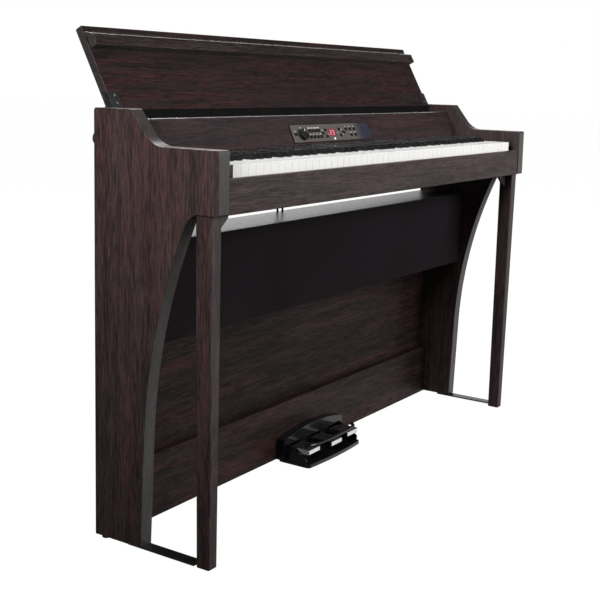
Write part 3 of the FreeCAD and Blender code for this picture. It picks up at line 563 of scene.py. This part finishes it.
def from_arrays(name: str, points: np.ndarray, faces: Sequence[Sequence[int]],
                finish: Finish) -> bpy.types.Object:
    """Makes a mesh object from arrays.

    Args:
        name: the piece's name.
        points: (n, 3) places in metres.
        faces: corner numbers of each face, pointing outwards.
        finish: what it is made of.

    Returns:
        The object, at the origin, in the scene.
    """
    mesh = bpy.data.meshes.new(name)
    mesh.from_pydata(np.asarray(points, float).tolist(), [], [list(map(int, face)) for face in faces])
    mesh.materials.append(PAINT.get(finish))
    piece = bpy.data.objects.new(name, mesh)
    bpy.context.scene.collection.objects.link(piece)
    return piece


def smooth(piece: bpy.types.Object, angle: float = 30.0) -> bpy.types.Object:
    """Shades a piece smoothly and keeps its sharp edges crisp.

    Args:
        piece: the mesh object.
        angle: edges that turn by more than this, in degrees, stay sharp.

    Returns:
        The same object.
    """
    mesh = piece.data
    mesh.polygons.foreach_set("use_smooth", np.ones(len(mesh.polygons), bool))
    mesh.set_sharp_from_angle(angle=math.radians(angle))
    return piece


def ease_edges(piece: bpy.types.Object, width: float, steps: int = 2) -> bpy.types.Object:
    """Rounds a piece's sharp edges with a bevel.

    Args:
        piece: the mesh object.
        width: how far each edge is rounded, in metres.
        steps: facets round each edge.

    Returns:
        The same object.
    """
    bevel = piece.modifiers.new("eased_edges", "BEVEL")
    bevel.width = width
    bevel.segments = steps
    bevel.limit_method = "ANGLE"
    bevel.angle_limit = math.radians(SHARP_FROM)
    bevel.harden_normals = True
    bevel.use_clamp_overlap = True
    return piece


def attach(piece: bpy.types.Object, body: str, slot: str, *nodes: str) -> bpy.types.Object:
    """Makes a piece ride on a body and stand for CAD nodes.

    Args:
        piece: the mesh object.
        body: the body it moves with.
        slot: its material slot in the record; not used.
        *nodes: CAD nodes it replaces.

    Returns:
        The same object.
    """
    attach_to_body(piece, body)
    if nodes:
        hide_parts(*nodes)
    log.info("%s rides on %s, %d faces", piece.name, body, len(piece.data.polygons))
    return piece


def eased(node: str, width: float, band: Optional[Finish] = None, axis: int = 0,
          on_ends: bool = False, steps: int = 2) -> bpy.types.Object:
    """Makes a merged copy of a CAD node with softly rounded edges and, if wanted, banded edges.

    Args:
        node: the CAD node it stands for.
        width: how far its sharp edges are rounded, in metres.
        band: finish of the faces that are edges of the board, or None.
        axis: the axis (0 X, 1 Y, 2 Z) square to the board's faces.
        on_ends: band the faces square to axis in place of the others.
        steps: how many facets round each edge.

    Returns:
        The new piece, riding on the node's body.
    """
    mesh = frame["nodes"][node].data.copy()
    mesh.materials.clear()
    work = bmesh.new()
    work.from_mesh(mesh)
    bmesh.ops.remove_doubles(work, verts=work.verts, dist=WELD)
    bmesh.ops.dissolve_limit(work, angle_limit=FLAT_WITHIN, verts=work.verts, edges=work.edges)
    work.to_mesh(mesh)
    work.free()
    if mesh.has_custom_normals:
        mesh.attributes.remove(mesh.attributes["custom_normal"])
    mesh.materials.append(PAINT.get(NODE_FINISH[node]))
    if band is not None:
        mesh.materials.append(PAINT.get(band))
        normals = np.zeros(len(mesh.polygons) * 3)
        mesh.polygons.foreach_get("normal", normals)
        square = np.abs(normals.reshape(-1, 3)[:, axis]) > SQUARE_FROM
        banded = square if on_ends else ~square
        mesh.polygons.foreach_set("material_index", banded.astype(np.int32))
    piece = bpy.data.objects.new(node + "_finished", mesh)
    bpy.context.scene.collection.objects.link(piece)
    smooth(piece)
    if width > 0:
        ease_edges(piece, width, steps)
    return attach(piece, BODY_OF[node], SLOT_OF[node], node)


def paint_node(node: str) -> None:
    """Gives a CAD node that stays as it is its procedural finish.

    Args:
        node: the node's name.
    """
    mesh = frame["nodes"][node].data
    mesh.materials.clear()
    mesh.materials.append(PAINT.get(NODE_FINISH[node]))


@dataclass(frozen=True)
class Placing:
    """A flat local frame in the object: origin, and unit directions across, out and up."""

    origin: Tuple[float, float, float]
    across: Tuple[float, float, float]
    out: Tuple[float, float, float]
    up: Tuple[float, float, float]

    def world(self, local: np.ndarray) -> np.ndarray:
        """Local (across, out, up) points, in metres, as places in the object."""
        turn = np.array([self.across, self.out, self.up])
        return np.asarray(local, float) @ turn + np.array(self.origin)


def leaning(y: float, z: float, lean: float) -> Placing:
    """Frame of a board that leans back by an angle, with its outward side towards the player.

    Args:
        y: depth of its origin, in metres.
        z: height of its origin, in metres.
        lean: how far its face is tipped back from upright, in radians.

    Returns:
        The frame, centred across the object.
    """
    c, s = math.cos(lean), math.sin(lean)
    return Placing((0.0, y, z), (1, 0, 0), (0, -c, s), (0, s, c))


def ring_sides(rows: int, around: int) -> np.ndarray:
    """Quads that join each ring of points to the next.

    Face (i, j) has corners j and j + 1 of ring i, then j + 1 and j of ring i + 1.

    Args:
        rows: how many rings.
        around: points round each ring.

    Returns:
        ((rows - 1) * around, 4) corner numbers.
    """
    i = np.arange(rows - 1)[:, None] * around
    j = np.arange(around)[None, :]
    k = (j + 1) % around
    return np.stack([i + j, i + k, i + around + k, i + around + j], -1).reshape(-1, 4)


RECESS_REACH = 0.62  # how far out a cross recess runs, as a share of the radius
RECESS_SINK = 0.45  # how deep it is, as a share of the height
RECESS_FROM = 0.3  # height share below which a turned piece is never sunk


def revolved(name: str, place: Placing, centres: np.ndarray, radii: np.ndarray, heights: np.ndarray,
             finish: Finish, around: int = 24, flutes: int = 0, depth: float = 0.0,
             cross: float = 0.0) -> bpy.types.Object:
    """Turned pieces that stand out of a face, several in one mesh.

    A point at angle a on ring i is centre + r_i (1 - depth cos(flutes a)) (cos a, sin a) in the
    face and height_i out of it. A cross recess sinks points within cross of either diameter.

    Args:
        name: the piece's name.
        place: frame of the face they stand on.
        centres: (n, 2) places across and up the face, in metres.
        radii: ring radii from the foot to the pole, in metres; the first and last close it.
        heights: how far out each ring stands, in metres.
        finish: what they are made of.
        around: points round each ring.
        flutes: how many grip flutes, 0 for none.
        depth: flute depth as a share of the radius.
        cross: half width of a cross recess in metres, 0 for none.

    Returns:
        The joined mesh object.
    """
    angle = np.linspace(0.0, 2 * math.pi, around, endpoint=False)
    ripple = 1 - depth * np.cos(flutes * angle) if flutes else np.ones(around)
    ring = np.stack([np.outer(radii, np.cos(angle) * ripple), np.outer(radii, np.sin(angle) * ripple)], -1)
    out = np.repeat(np.asarray(heights, float)[:, None], around, 1)
    rise = max(heights)
    sink = RECESS_SINK * rise if cross else 0
    if cross > 0:
        reach = radii.max() * RECESS_REACH
        near = np.minimum(np.abs(ring[..., 0]), np.abs(ring[..., 1])) < cross
        inside = np.hypot(ring[..., 0], ring[..., 1]) < reach
        out = np.where(near & inside & (out > RECESS_FROM * rise), out - sink, out)
    one = np.stack([ring[..., 0], out, ring[..., 1]], -1).reshape(-1, 3)
    poles = np.array([[0.0, heights[0], 0.0], [0.0, heights[-1] - sink, 0.0]])
    one = np.vstack([one, poles])
    rows, count = len(radii), len(one)
    sides = ring_sides(rows, around)
    first, last = np.arange(around), np.arange(around) + (rows - 1) * around
    foot = np.stack([np.full(around, count - 2), np.roll(first, -1), first], -1)
    top = np.stack([np.full(around, count - 1), last, np.roll(last, -1)], -1)
    faces: List[List[int]] = []
    points = []
    for number, (u, v) in enumerate(np.atleast_2d(centres)):
        points.append(one + np.array([u, 0.0, v]))
        base = number * count
        faces += (sides + base).tolist() + (foot + base).tolist() + (top + base).tolist()
    return smooth(from_arrays(name, place.world(np.vstack(points)), faces, finish), 40)


def slabs(name: str, place: Placing, centres: np.ndarray, sizes: np.ndarray, low: float, high: float,
          finish: Finish, point: float = 0.0) -> bpy.types.Object:
    """Thin flat bars on a face, each a six-cornered prism that ends in points.

    Corner c of bar b is centre_b + size_b times a unit hexagon, whose four side corners are drawn
    in along the bar by point times its short side.

    Args:
        name: the piece's name.
        place: frame of the face.
        centres: (n, 2) places across and up the face, in metres.
        sizes: (n, 2) widths across and up, in metres.
        low: how far out of the face the bars start.
        high: how far out they end.
        finish: what they are made of.
        point: how pointed the ends are, as a share of the short side.

    Returns:
        The joined mesh object.
    """
    centres, sizes = np.atleast_2d(centres), np.atleast_2d(sizes)
    wide = sizes[:, :1] >= sizes[:, 1:]
    short = sizes.min(1, keepdims=True)
    tip = point * short
    flat_u = (np.array([-0.5, -0.5, 0.5, 0.5, 0.5, -0.5]) * sizes[:, :1]
              + np.array([0, 1, -1, 0, -1, 1]) * tip)
    flat_v = np.array([0, -0.5, -0.5, 0, 0.5, 0.5]) * sizes[:, 1:]
    tall_u = np.array([-0.5, 0, 0.5, 0.5, 0, -0.5]) * sizes[:, :1]
    tall_v = (np.array([-0.5, -0.5, -0.5, 0.5, 0.5, 0.5]) * sizes[:, 1:]
              + np.array([1, 0, 1, -1, 0, -1]) * tip)
    u, v = np.where(wide, flat_u, tall_u), np.where(wide, flat_v, tall_v)
    flat = np.stack([u, v], -1) + centres[:, None, :]
    count = len(centres)
    layer = [np.stack([flat[..., 0], np.full(flat.shape[:2], out), flat[..., 1]], -1)
             for out in (low, high)]
    points = np.concatenate(layer, 1).reshape(-1, 3)
    base = (np.arange(count) * 12)[:, None]
    front = (base + np.arange(6, 12)).tolist()
    back = (base + np.arange(5, -1, -1)).tolist()
    around = np.arange(6)
    side = np.stack([around, (around + 1) % 6, (around + 1) % 6 + 6, around + 6], -1)
    sides = (base[:, :, None] + side[None]).reshape(-1, 4).tolist()
    return from_arrays(name, place.world(points), front + back + sides, finish)


def swept(name: str, path: np.ndarray, section: np.ndarray, finish: Finish) -> bpy.types.Object:
    """A closed section carried along a level path.

    Point j of section i is path_i + s_j (outward level normal of the path at i) + h_j up, where the
    normal is the path's own direction turned a quarter to the right.

    Args:
        name: the piece's name.
        path: (n, 3) places in metres.
        section: (m, 2) pairs (outwards, up) in metres, in order round the section.
        finish: what it is made of.

    Returns:
        The mesh object with capped ends.
    """
    way = np.gradient(path, axis=0)
    way /= np.linalg.norm(way, axis=1, keepdims=True)
    normal = np.stack([way[:, 1], -way[:, 0], np.zeros(len(way))], -1)
    up = np.array([0.0, 0.0, 1.0])
    points = (path[:, None, :] + section[None, :, :1] * normal[:, None, :]
              + section[None, :, 1:] * up[None, None, :])
    rows, around = points.shape[:2]
    sides = ring_sides(rows, around)
    caps = [list(range(around - 1, -1, -1)), list(range((rows - 1) * around, rows * around))]
    piece = from_arrays(name, points.reshape(-1, 3), sides.tolist() + caps, finish)
    work = bmesh.new()
    work.from_mesh(piece.data)
    bmesh.ops.recalc_face_normals(work, faces=work.faces)
    work.to_mesh(piece.data)
    work.free()
    return smooth(piece, 35)


SCREW_RADII = np.array([1.0, 1.0, 0.96, 0.84, 0.62, 0.42, 0.25, 0.1])
SCREW_RISE = np.array([0.0, 0.35, 0.62, 0.84, 0.97, 1.0, 1.0, 1.0])


def screws(name: str, body: str, slot: str, place: Placing, centres: Sequence[Tuple[float, float]],
           radius: float = 3.4 * MM, rise: float = 1.3 * MM, finish: Finish = SCREW) -> bpy.types.Object:
    """Cross-recessed dome screw heads on a face.

    Args:
        name: the piece's name.
        body: the body they move with.
        slot: their material slot in the record.
        place: frame of the face.
        centres: places across and up the face, in metres.
        radius: head radius.
        rise: how far the heads stand out.
        finish: what they are made of.

    Returns:
        The joined mesh object.
    """
    made = revolved(name, place, np.array(centres), SCREW_RADII * radius, SCREW_RISE * rise, finish,
                    around=32, cross=0.16 * radius)
    return attach(made, body, slot)


# ------------------------------------------------------------------ sub-assemblies


@dataclass
class Stand:
    """Side panels, front legs, floor bars, feet, back board, kick board and their fixings."""

    panel_edge: float = 0.9 * MM
    board_edge: float = 0.6 * MM
    leg_edge: float = 0.8 * MM
    bracket_edge: float = 0.4 * MM
    bar_edge: float = 0.5 * MM
    rubber_edge: float = 2.0 * MM
    corner_edge: float = 1.0 * MM

    def build(self) -> None:
        """Builds every piece of the stand."""
        for node in ("left_side_panel", "right_side_panel"):
            eased(node, self.panel_edge, BAND, 0)
        for node in ("left_front_leg", "right_front_leg"):
            eased(node, self.leg_edge)
        eased("kick_board", self.board_edge)
        eased("back_board", self.board_edge)
        eased("leg_brackets", self.bracket_edge)
        eased("floor_bars", self.bar_edge)
        eased("rear_feet", self.leg_edge)
        eased("wall_bumpers", self.rubber_edge, steps=4)
        eased("corner_brackets", self.corner_edge)
        self.screw_rows("back_board", 5, 30.0 * MM, 20.0 * MM, 30.0 * MM)
        self.screw_rows("rear_cover", 7, 25.0 * MM, 12.0 * MM, 12.0 * MM)

    def screw_rows(self, node: str, count: int, inset: float, drop: float, rise: float) -> None:
        """Two rows of screws in the rear face of a board.

        Args:
            node: the board.
            count: screws in a row.
            inset: from the board's ends to the outer screws, in metres.
            drop: from its top edge down to the upper row.
            rise: from its lower edge up to the lower row.
        """
        low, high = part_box(node)
        rear = Placing((0, high.y, 0), (-1, 0, 0), (0, 1, 0), (0, 0, 1))
        xs = np.linspace(low.x + inset, high.x - inset, count)
        spots = [(x, z) for z in (high.z - drop, low.z + rise) for x in xs]
        screws(node + "_screws", "case", SLOT_OF[node], rear, spots)


@dataclass
class SpeakerBox:
    """Slim box across the stand with its cloth front."""

    box_edge: float = 0.6 * MM
    cloth_edge: float = 0.8 * MM

    def build(self) -> None:
        """Builds the box and its cloth."""
        eased("speaker_box", self.box_edge)
        eased("speaker_grille", self.cloth_edge, steps=3)


@dataclass
class Keyboard:
    """Keys, rail, end blocks and the case round them."""

    white_edge: float = 0.9 * MM
    black_edge: float = 1.3 * MM
    rail_edge: float = 0.5 * MM
    block_edge: float = 1.2 * MM
    cover_edge: float = 0.4 * MM
    socket_edge: float = 0.8 * MM

    def build(self) -> None:
        """Builds the keys and the wooden parts that frame them."""
        for note in "cdefgab":
            eased(note + "_keys", self.white_edge)
        for note in "cdfga":
            eased(note + "_sharp_keys", self.black_edge, steps=3)
        eased("front_rail", self.rail_edge)
        eased("end_blocks", self.block_edge)
        eased("key_bed", self.rail_edge)
        eased("rear_cover", self.cover_edge)
        eased("socket_box", self.socket_edge)


# dashes beside the controls: place along the board, drop below its top edge and length, in mm
DASHES = (
    [(-85.0 + 12.4 * n, 33.2, 8) for n in range(4)] + [(-87.0 + 14.3 * n, 48.8, 6) for n in range(4)]
    + [(-31, 39.7, 5), (-12.2, 51, 3.6), (30.5, 47.0, 5), (49.5, 39.2, 5), (50.8, 52.5, 5)]
    + [(71.5 + 18.0 * n, 33.0, 5) for n in range(3)]
    + [(88, 48.0, 6), (106.5, 48.0, 6), (-144, 40.5, 5), (-119, 32.2, 7)])
# profiles from the foot to the pole, each a radius and a height out of the face
KNOB_RADII = np.array([3.0, 3.0, 12.9, 13.5, 13.4, 13.0, 12.0, 11.3, 10.6, 6.0, 1.5]) * MM
KNOB_RISES = np.array([-4.5, 2.3, 2.3, 2.9, 9.6, 11.2, 11.9, 11.9, 11.4, 11.1, 11.0]) * MM
LAMP_RADII = np.array([2.6, 2.6, 2.3, 1.5, 0.6]) * MM
LAMP_RISES = np.array([-0.3, 0.4, 0.8, 1.1, 1.2]) * MM
BOLD, THIN, BOLD_FROM = 2.2, 1.5, 7.5  # heights of long and short dashes, and the length between, mm


@dataclass
class NameBoard:
    """Tilted board with the control plate, knob, buttons, display and printed dashes."""

    lean: float = math.radians(25.4)
    top_y: float = 31.9 * MM
    top_z: float = 824.0 * MM
    knob: Tuple[float, float] = (-119.0 * MM, -48.5 * MM)
    plate_out: float = 2.0 * MM
    display: Tuple[float, float] = (6.6 * MM, -46.0 * MM)
    plate_x: Tuple[float, float] = (-158.0 * MM, 178.0 * MM)
    plate_drop: Tuple[float, float] = (25.0 * MM, 66.5 * MM)
    outline: float = 1.4 * MM
    # radius of the bead that paints the highlight along the board's top edge
    bead: float = 1.3 * MM
    lamp: Tuple[float, float] = (10.0 * MM, -61.5 * MM)
    digit_wide: float = 7.4 * MM
    digit_tall: float = 12.0 * MM
    bar: float = 1.5 * MM

    def place(self) -> Placing:
        """The board's own frame: origin on its top front edge, out towards the player."""
        return leaning(self.top_y, self.top_z, self.lean)

    def build(self) -> None:
        """Builds the board and all that is on it."""
        eased("name_board", 1.2 * MM, steps=3)
        eased("control_panel", 0.4 * MM)
        for node in ("power_button", "upper_left_buttons", "lower_left_buttons", "left_menu_buttons",
                     "right_menu_buttons", "upper_right_buttons", "lower_right_buttons"):
            eased(node, 0.5 * MM, steps=3)
        paint_node("display_window")
        self.build_highlight_bead()
        self.build_knob()
        self.build_digits()
        self.build_print()

    def build_highlight_bead(self) -> None:
        """A thin bright metal bead along the board's top front edge, a round section carried along X: a
        painted highlight, a pale piece standing in for the light caught by the board's lacquered top edge.
        """
        low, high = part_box("name_board")
        x = np.linspace(low.x + 1.0 * MM, high.x - 1.0 * MM, 33)
        centre = self.place().world(np.array([[0.0, -0.4 * MM, -0.9 * MM]]))[0]
        path = np.stack([x, np.full(33, centre[1]), np.full(33, centre[2])], -1)
        angle = np.linspace(0.0, 2 * math.pi, 12, endpoint=False)
        section = np.stack([np.cos(angle), np.sin(angle)], -1) * self.bead
        bead = swept("name_board_highlight_bead", path, section, HIGHLIGHT_BEAD)
        attach(bead, "case", SLOT_OF["name_board"])

    def build_knob(self) -> None:
        """A fluted knob with a dished top and a pale pointer line."""
        knob = revolved("volume_knob_cap", self.place(), np.array([self.knob]), KNOB_RADII, KNOB_RISES,
                        KNOB_BLACK, around=96, flutes=24, depth=0.022)
        attach(knob, BODY_OF["volume_knob"], SLOT_OF["volume_knob"], "volume_knob")
        x, up = self.knob
        line = slabs("volume_knob_pointer", self.place(), np.array([[x, up + 8.2 * MM]]),
                     np.array([[1.2 * MM, 5.6 * MM]]), 11.0 * MM, 11.98 * MM, PRINT)
        attach(line, BODY_OF["volume_knob"], SLOT_OF["volume_knob"])

    def build_digits(self) -> None:
        """Two lit seven-segment figures behind the display window's face."""
        wide, tall, bar = self.digit_wide, self.digit_tall, self.bar
        upright = (bar, tall / 2 - bar)
        flat = (wide - bar, bar)
        segments = {
            "a": ((0, tall / 2 - bar / 2), flat), "d": ((0, -tall / 2 + bar / 2), flat),
            "g": ((0, 0), flat),
            "b": ((wide / 2 - bar / 2, tall / 4), upright), "c": ((wide / 2 - bar / 2, -tall / 4), upright),
            "f": ((-wide / 2 + bar / 2, tall / 4), upright),
            "e": ((-wide / 2 + bar / 2, -tall / 4), upright),
        }
        centres, sizes = [], []
        for offset, lit in ((-5.4 * MM, "abdeg"), (5.4 * MM, "abcdg")):
            for letter in lit:
                (u, v), size = segments[letter]
                centres.append((self.display[0] + offset + u, self.display[1] + v))
                sizes.append(size)
        digits = slabs("display_digits", self.place(), np.array(centres), np.array(sizes),
                       self.plate_out - 0.3 * MM, self.plate_out - 0.05 * MM, DIGIT, 0.5)
        attach(digits, "case", SLOT_OF["display_window"])

    def build_print(self) -> None:
        """Small plain dashes beside the buttons, and the signal lamp under the display."""
        centres = np.array([(x, -drop) for x, drop, _ in DASHES]) * MM
        sizes = np.array([(long, BOLD if long > BOLD_FROM else THIN) for _, _, long in DASHES]) * MM
        marks = slabs("button_dashes", self.place(), centres, sizes, self.plate_out - 0.05 * MM,
                      self.plate_out + 0.06 * MM, PRINT)
        attach(marks, "case", SLOT_OF["control_panel"])
        (left, right), (top, low), line = self.plate_x, self.plate_drop, self.outline
        middle, wide, tall = (left + right) / 2, right - left + 2 * line, low - top
        bars = np.array([(middle, -top + line / 2, wide, line), (middle, -low - line / 2, wide, line),
                         (left - line / 2, -(top + low) / 2, line, tall),
                         (right + line / 2, -(top + low) / 2, line, tall)])
        border = slabs("control_plate_outline", self.place(), bars[:, :2], bars[:, 2:], -0.2 * MM,
                       self.plate_out + 0.05 * MM, OUTLINE)
        attach(border, "case", SLOT_OF["control_panel"])
        lamp = revolved("signal_lamp_dome", self.place(), np.array([self.lamp]), LAMP_RADII,
                        self.plate_out + LAMP_RISES, SPOT, around=20)
        attach(lamp, "case", SLOT_OF["control_panel"])


@dataclass
class Lid:
    """Open lid: board, folded lip, hinge rail, hinge arms and their screws."""

    lean: float = math.radians(28.5)
    low_y: float = 91.04 * MM
    low_z: float = 838.5 * MM
    leaf_out: float = 4.2 * MM
    leaf_x: float = 624.0 * MM
    board_edge: float = 0.8 * MM
    lip_edge: float = 0.7 * MM
    hinge_edges: Tuple[float, float, float] = (0.5 * MM, 0.4 * MM, 0.3 * MM)

    def place(self) -> Placing:
        """The lid's own frame: origin on its lower inner edge, out towards the player."""
        return leaning(self.low_y, self.low_z, self.lean)

    def build(self) -> None:
        """Builds the lid's pieces."""
        eased("lid_board", self.board_edge, LID_BAND, 0, True)
        eased("lid_lip", self.lip_edge, LID_BAND, 0, True)
        for node, edge in zip(("lid_hinge_rail", "lid_hinge_arms", "lid_hinge_brackets"), self.hinge_edges):
            eased(node, edge)
        face = self.place()
        out = Placing(tuple(face.world(np.array([0.0, self.leaf_out, 0.0]))), face.across, face.out, face.up)
        spots = [(side * self.leaf_x, up * MM) for side in (-1, 1) for up in (12, 29)]
        screws("hinge_leaf_screws", "lid", SLOT_OF["lid_hinge_arms"], out, spots, 3.0 * MM, 1.1 * MM)


@dataclass
class PedalUnit:
    """Gloss tray with its rim bar, crowned housing and three plated pedals."""

    rim_out: float = 4.0 * MM
    rim_rise: float = 6.5 * MM
    rim_inset: float = 9.0 * MM
    bow: float = 6.0 * MM
    corner: float = 12.0 * MM
    edge: float = 1.6 * MM
    steps: int = 64

    def build(self) -> None:
        """Builds the pedal unit."""
        eased("pedal_base", self.edge, steps=3)
        eased("pedal_housing", self.edge, steps=3)
        for node in ("left_pedal", "middle_pedal", "right_pedal"):
            eased(node, self.edge, steps=3)
        self.build_rim()

    def build_rim(self) -> None:
        """A rounded bar that follows the tray's bowed front edge, level with the base's highest point.

        The path is y = front + bow (x / half)^2 + corner |x / half|^14, set in from the edge; the
        section is half an ellipse.
        """
        low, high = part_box("pedal_base")
        centre, half = (low.x + high.x) / 2, (high.x - low.x) / 2
        inset = self.rim_inset
        share = np.linspace(-1.0, 1.0, self.steps)
        x = centre + share * (half - inset)
        y = low.y + inset * 0.8 + self.bow * share ** 2 + self.corner * np.abs(share) ** 14
        path = np.stack([x, y, np.full(self.steps, high.z)], -1)
        angle = np.linspace(0.0, math.pi, 9)
        section = np.stack([self.rim_out * np.cos(angle), self.rim_rise * np.sin(angle) - 0.5 * MM], -1)
        rim = swept("pedal_tray_rim", path, section, CASE_GLOSS)
        attach(rim, "case", SLOT_OF["pedal_base"])


@dataclass
class Light:
    """One rectangular softbox."""

    name: str
    spot: Tuple[float, float, float]
    aim: Tuple[float, float, float]
    wide: float
    tall: float
    power: float
    spread: float = 180.0

    def build(self) -> None:
        """Hangs the softbox and aims it."""
        lamp = bpy.data.lights.new(self.name, "AREA")
        lamp.shape = "RECTANGLE"
        lamp.size = self.wide
        lamp.size_y = self.tall
        lamp.energy = self.power
        lamp.spread = math.radians(self.spread)
        holder = bpy.data.objects.new(self.name, lamp)
        holder.location = self.spot
        way = Vector(self.aim) - Vector(self.spot)
        holder.rotation_euler = way.to_track_quat("-Z", "Y").to_euler()
        bpy.context.scene.collection.objects.link(holder)


@dataclass(frozen=True)
class Glow:
    """A soft bright patch of the surroundings, round one direction."""

    way: Tuple[float, float, float]
    edge: float
    core: float
    strength: float


@dataclass
class Studio:
    """Camera, pale floor, soft lights and surroundings."""

    eye: Tuple[float, float, float] = (-2.1735, -1.3690, 0.9038)
    look: Tuple[float, float, float] = (0.82917, 0.53986, -0.14504)
    roll: float = math.radians(1.44)
    lens: float = 66.05
    shift: Tuple[float, float] = (-0.0251, -0.0982)
    lights: List[Light] = field(default_factory=lambda: [
        Light("side_softbox", (-2.3, -0.4, 1.6), (-0.67, -0.05, 0.95), 0.8, 0.8, 6.8, 56.0),
        Light("front_softbox", (1.2, -3.0, 1.7), (0.2, 0.0, 0.75), 2.2, 1.2, 95.0),
        Light("top_softbox", (0.3, 1.5, 3.2), (0.0, 0.0, 0.7), 2.6, 0.7, 175.0),
    ])
    glows: List[Glow] = field(default_factory=lambda: [
        Glow((0.70, 0.58, 0.42), 24.0, 8.0, 3.2),
        Glow((0.83, -0.50, -0.16), 26.0, 12.0, 0.8),
    ])
    dim: float = 0.10

    def build(self) -> None:
        """Sets up the studio."""
        self.build_camera()
        self.build_floor()
        self.build_surroundings()
        for light in self.lights:
            light.build()
        bpy.context.scene.view_settings.view_transform = "Standard"
        log.info("studio ready")

    def build_camera(self) -> None:
        """A camera at eye that looks along look, turned by roll about its own axis."""
        forward = Vector(self.look).normalized()
        right = forward.cross(Vector((0, 0, 1))).normalized()
        up = right.cross(forward)
        across = math.cos(self.roll) * right + math.sin(self.roll) * up
        above = math.cos(self.roll) * up - math.sin(self.roll) * right
        camera = bpy.data.cameras.new("studio_camera")
        camera.lens = self.lens
        camera.sensor_width = 36.0
        camera.shift_x, camera.shift_y = self.shift
        camera.clip_start, camera.clip_end = 0.05, 100.0
        holder = bpy.data.objects.new("studio_camera", camera)
        turn = Matrix((across, above, -forward)).transposed().to_4x4()
        holder.matrix_world = Matrix.Translation(self.eye) @ turn
        bpy.context.scene.collection.objects.link(holder)
        bpy.context.scene.camera = holder

    def build_floor(self) -> None:
        """A wide pale floor that throws no light up at the object."""
        reach = 30.0
        corners = np.array([[-1, -1, 0], [1, -1, 0], [1, 1, 0], [-1, 1, 0]]) * reach
        floor = from_arrays("studio_floor", corners, [[0, 1, 2, 3]], FLOOR)
        floor.location.z = -0.0005
        floor.visible_diffuse = False
        floor.visible_glossy = False

    def build_surroundings(self) -> None:
        """Surroundings: white where they are seen, dim elsewhere, with broad glows.

        A glow is a smooth step of the cosine between a ray and the glow's own direction.
        """
        world = bpy.data.worlds.new("studio_world")
        world.use_nodes = True
        tree = world.node_tree
        tree.nodes.clear()

        def add(kind: str, **settings: object) -> bpy.types.Node:
            """Adds one node.

            Args:
                kind: the node's Blender type name.
                **settings: attributes to set on it.

            Returns:
                The node.
            """
            made = tree.nodes.new(kind)
            for key, value in settings.items():
                setattr(made, key, value)
            return made

        where = add("ShaderNodeTexCoord").outputs["Generated"]
        light = add("ShaderNodeBackground")
        seen = add("ShaderNodeBackground")
        share = add("ShaderNodeMixShader")
        ray = add("ShaderNodeLightPath").outputs["Is Camera Ray"]
        end = add("ShaderNodeOutputWorld")
        seen.inputs["Color"].default_value = (1, 1, 1, 1)
        light.inputs["Color"].default_value = (1, 1, 1, 1)
        total = None
        for glow in self.glows:
            facing = add("ShaderNodeVectorMath", operation="DOT_PRODUCT")
            facing.inputs[1].default_value = Vector(glow.way).normalized()
            rise = add("ShaderNodeMapRange", interpolation_type="SMOOTHSTEP")
            rise.inputs["From Min"].default_value = math.cos(math.radians(glow.edge))
            rise.inputs["From Max"].default_value = math.cos(math.radians(glow.core))
            rise.inputs["To Max"].default_value = glow.strength
            tree.links.new(where, facing.inputs[0])
            tree.links.new(facing.outputs["Value"], rise.inputs["Value"])
            joined = add("ShaderNodeMath", operation="ADD")
            joined.inputs[0].default_value = self.dim
            if total is not None:
                tree.links.new(total, joined.inputs[0])
            tree.links.new(rise.outputs[0], joined.inputs[1])
            total = joined.outputs[0]
        for source, target in (
                (total, light.inputs["Strength"]), (ray, share.inputs[0]),
                (light.outputs[0], share.inputs[1]), (seen.outputs[0], share.inputs[2]),
                (share.outputs[0], end.inputs["Surface"])):
            tree.links.new(source, target)
        bpy.context.scene.world = world


def main() -> None:
    """Builds the whole piano in order and the studio round it."""
    logging.basicConfig(level=logging.INFO, format="%(name)s: %(message)s")
    for assembly in (Stand(), SpeakerBox(), Keyboard(), NameBoard(), Lid(), PedalUnit()):
        assembly.build()
    for node in ("speaker_drivers", "key_pivot_rod", "key_frame", "key_contact_board", "lid_well",
                 "main_circuit_board", "control_circuit_board", "pedal_shaft", "speaker_leads"):
        paint_node(node)
    Studio().build()


if __name__ == "__main__":
    main()
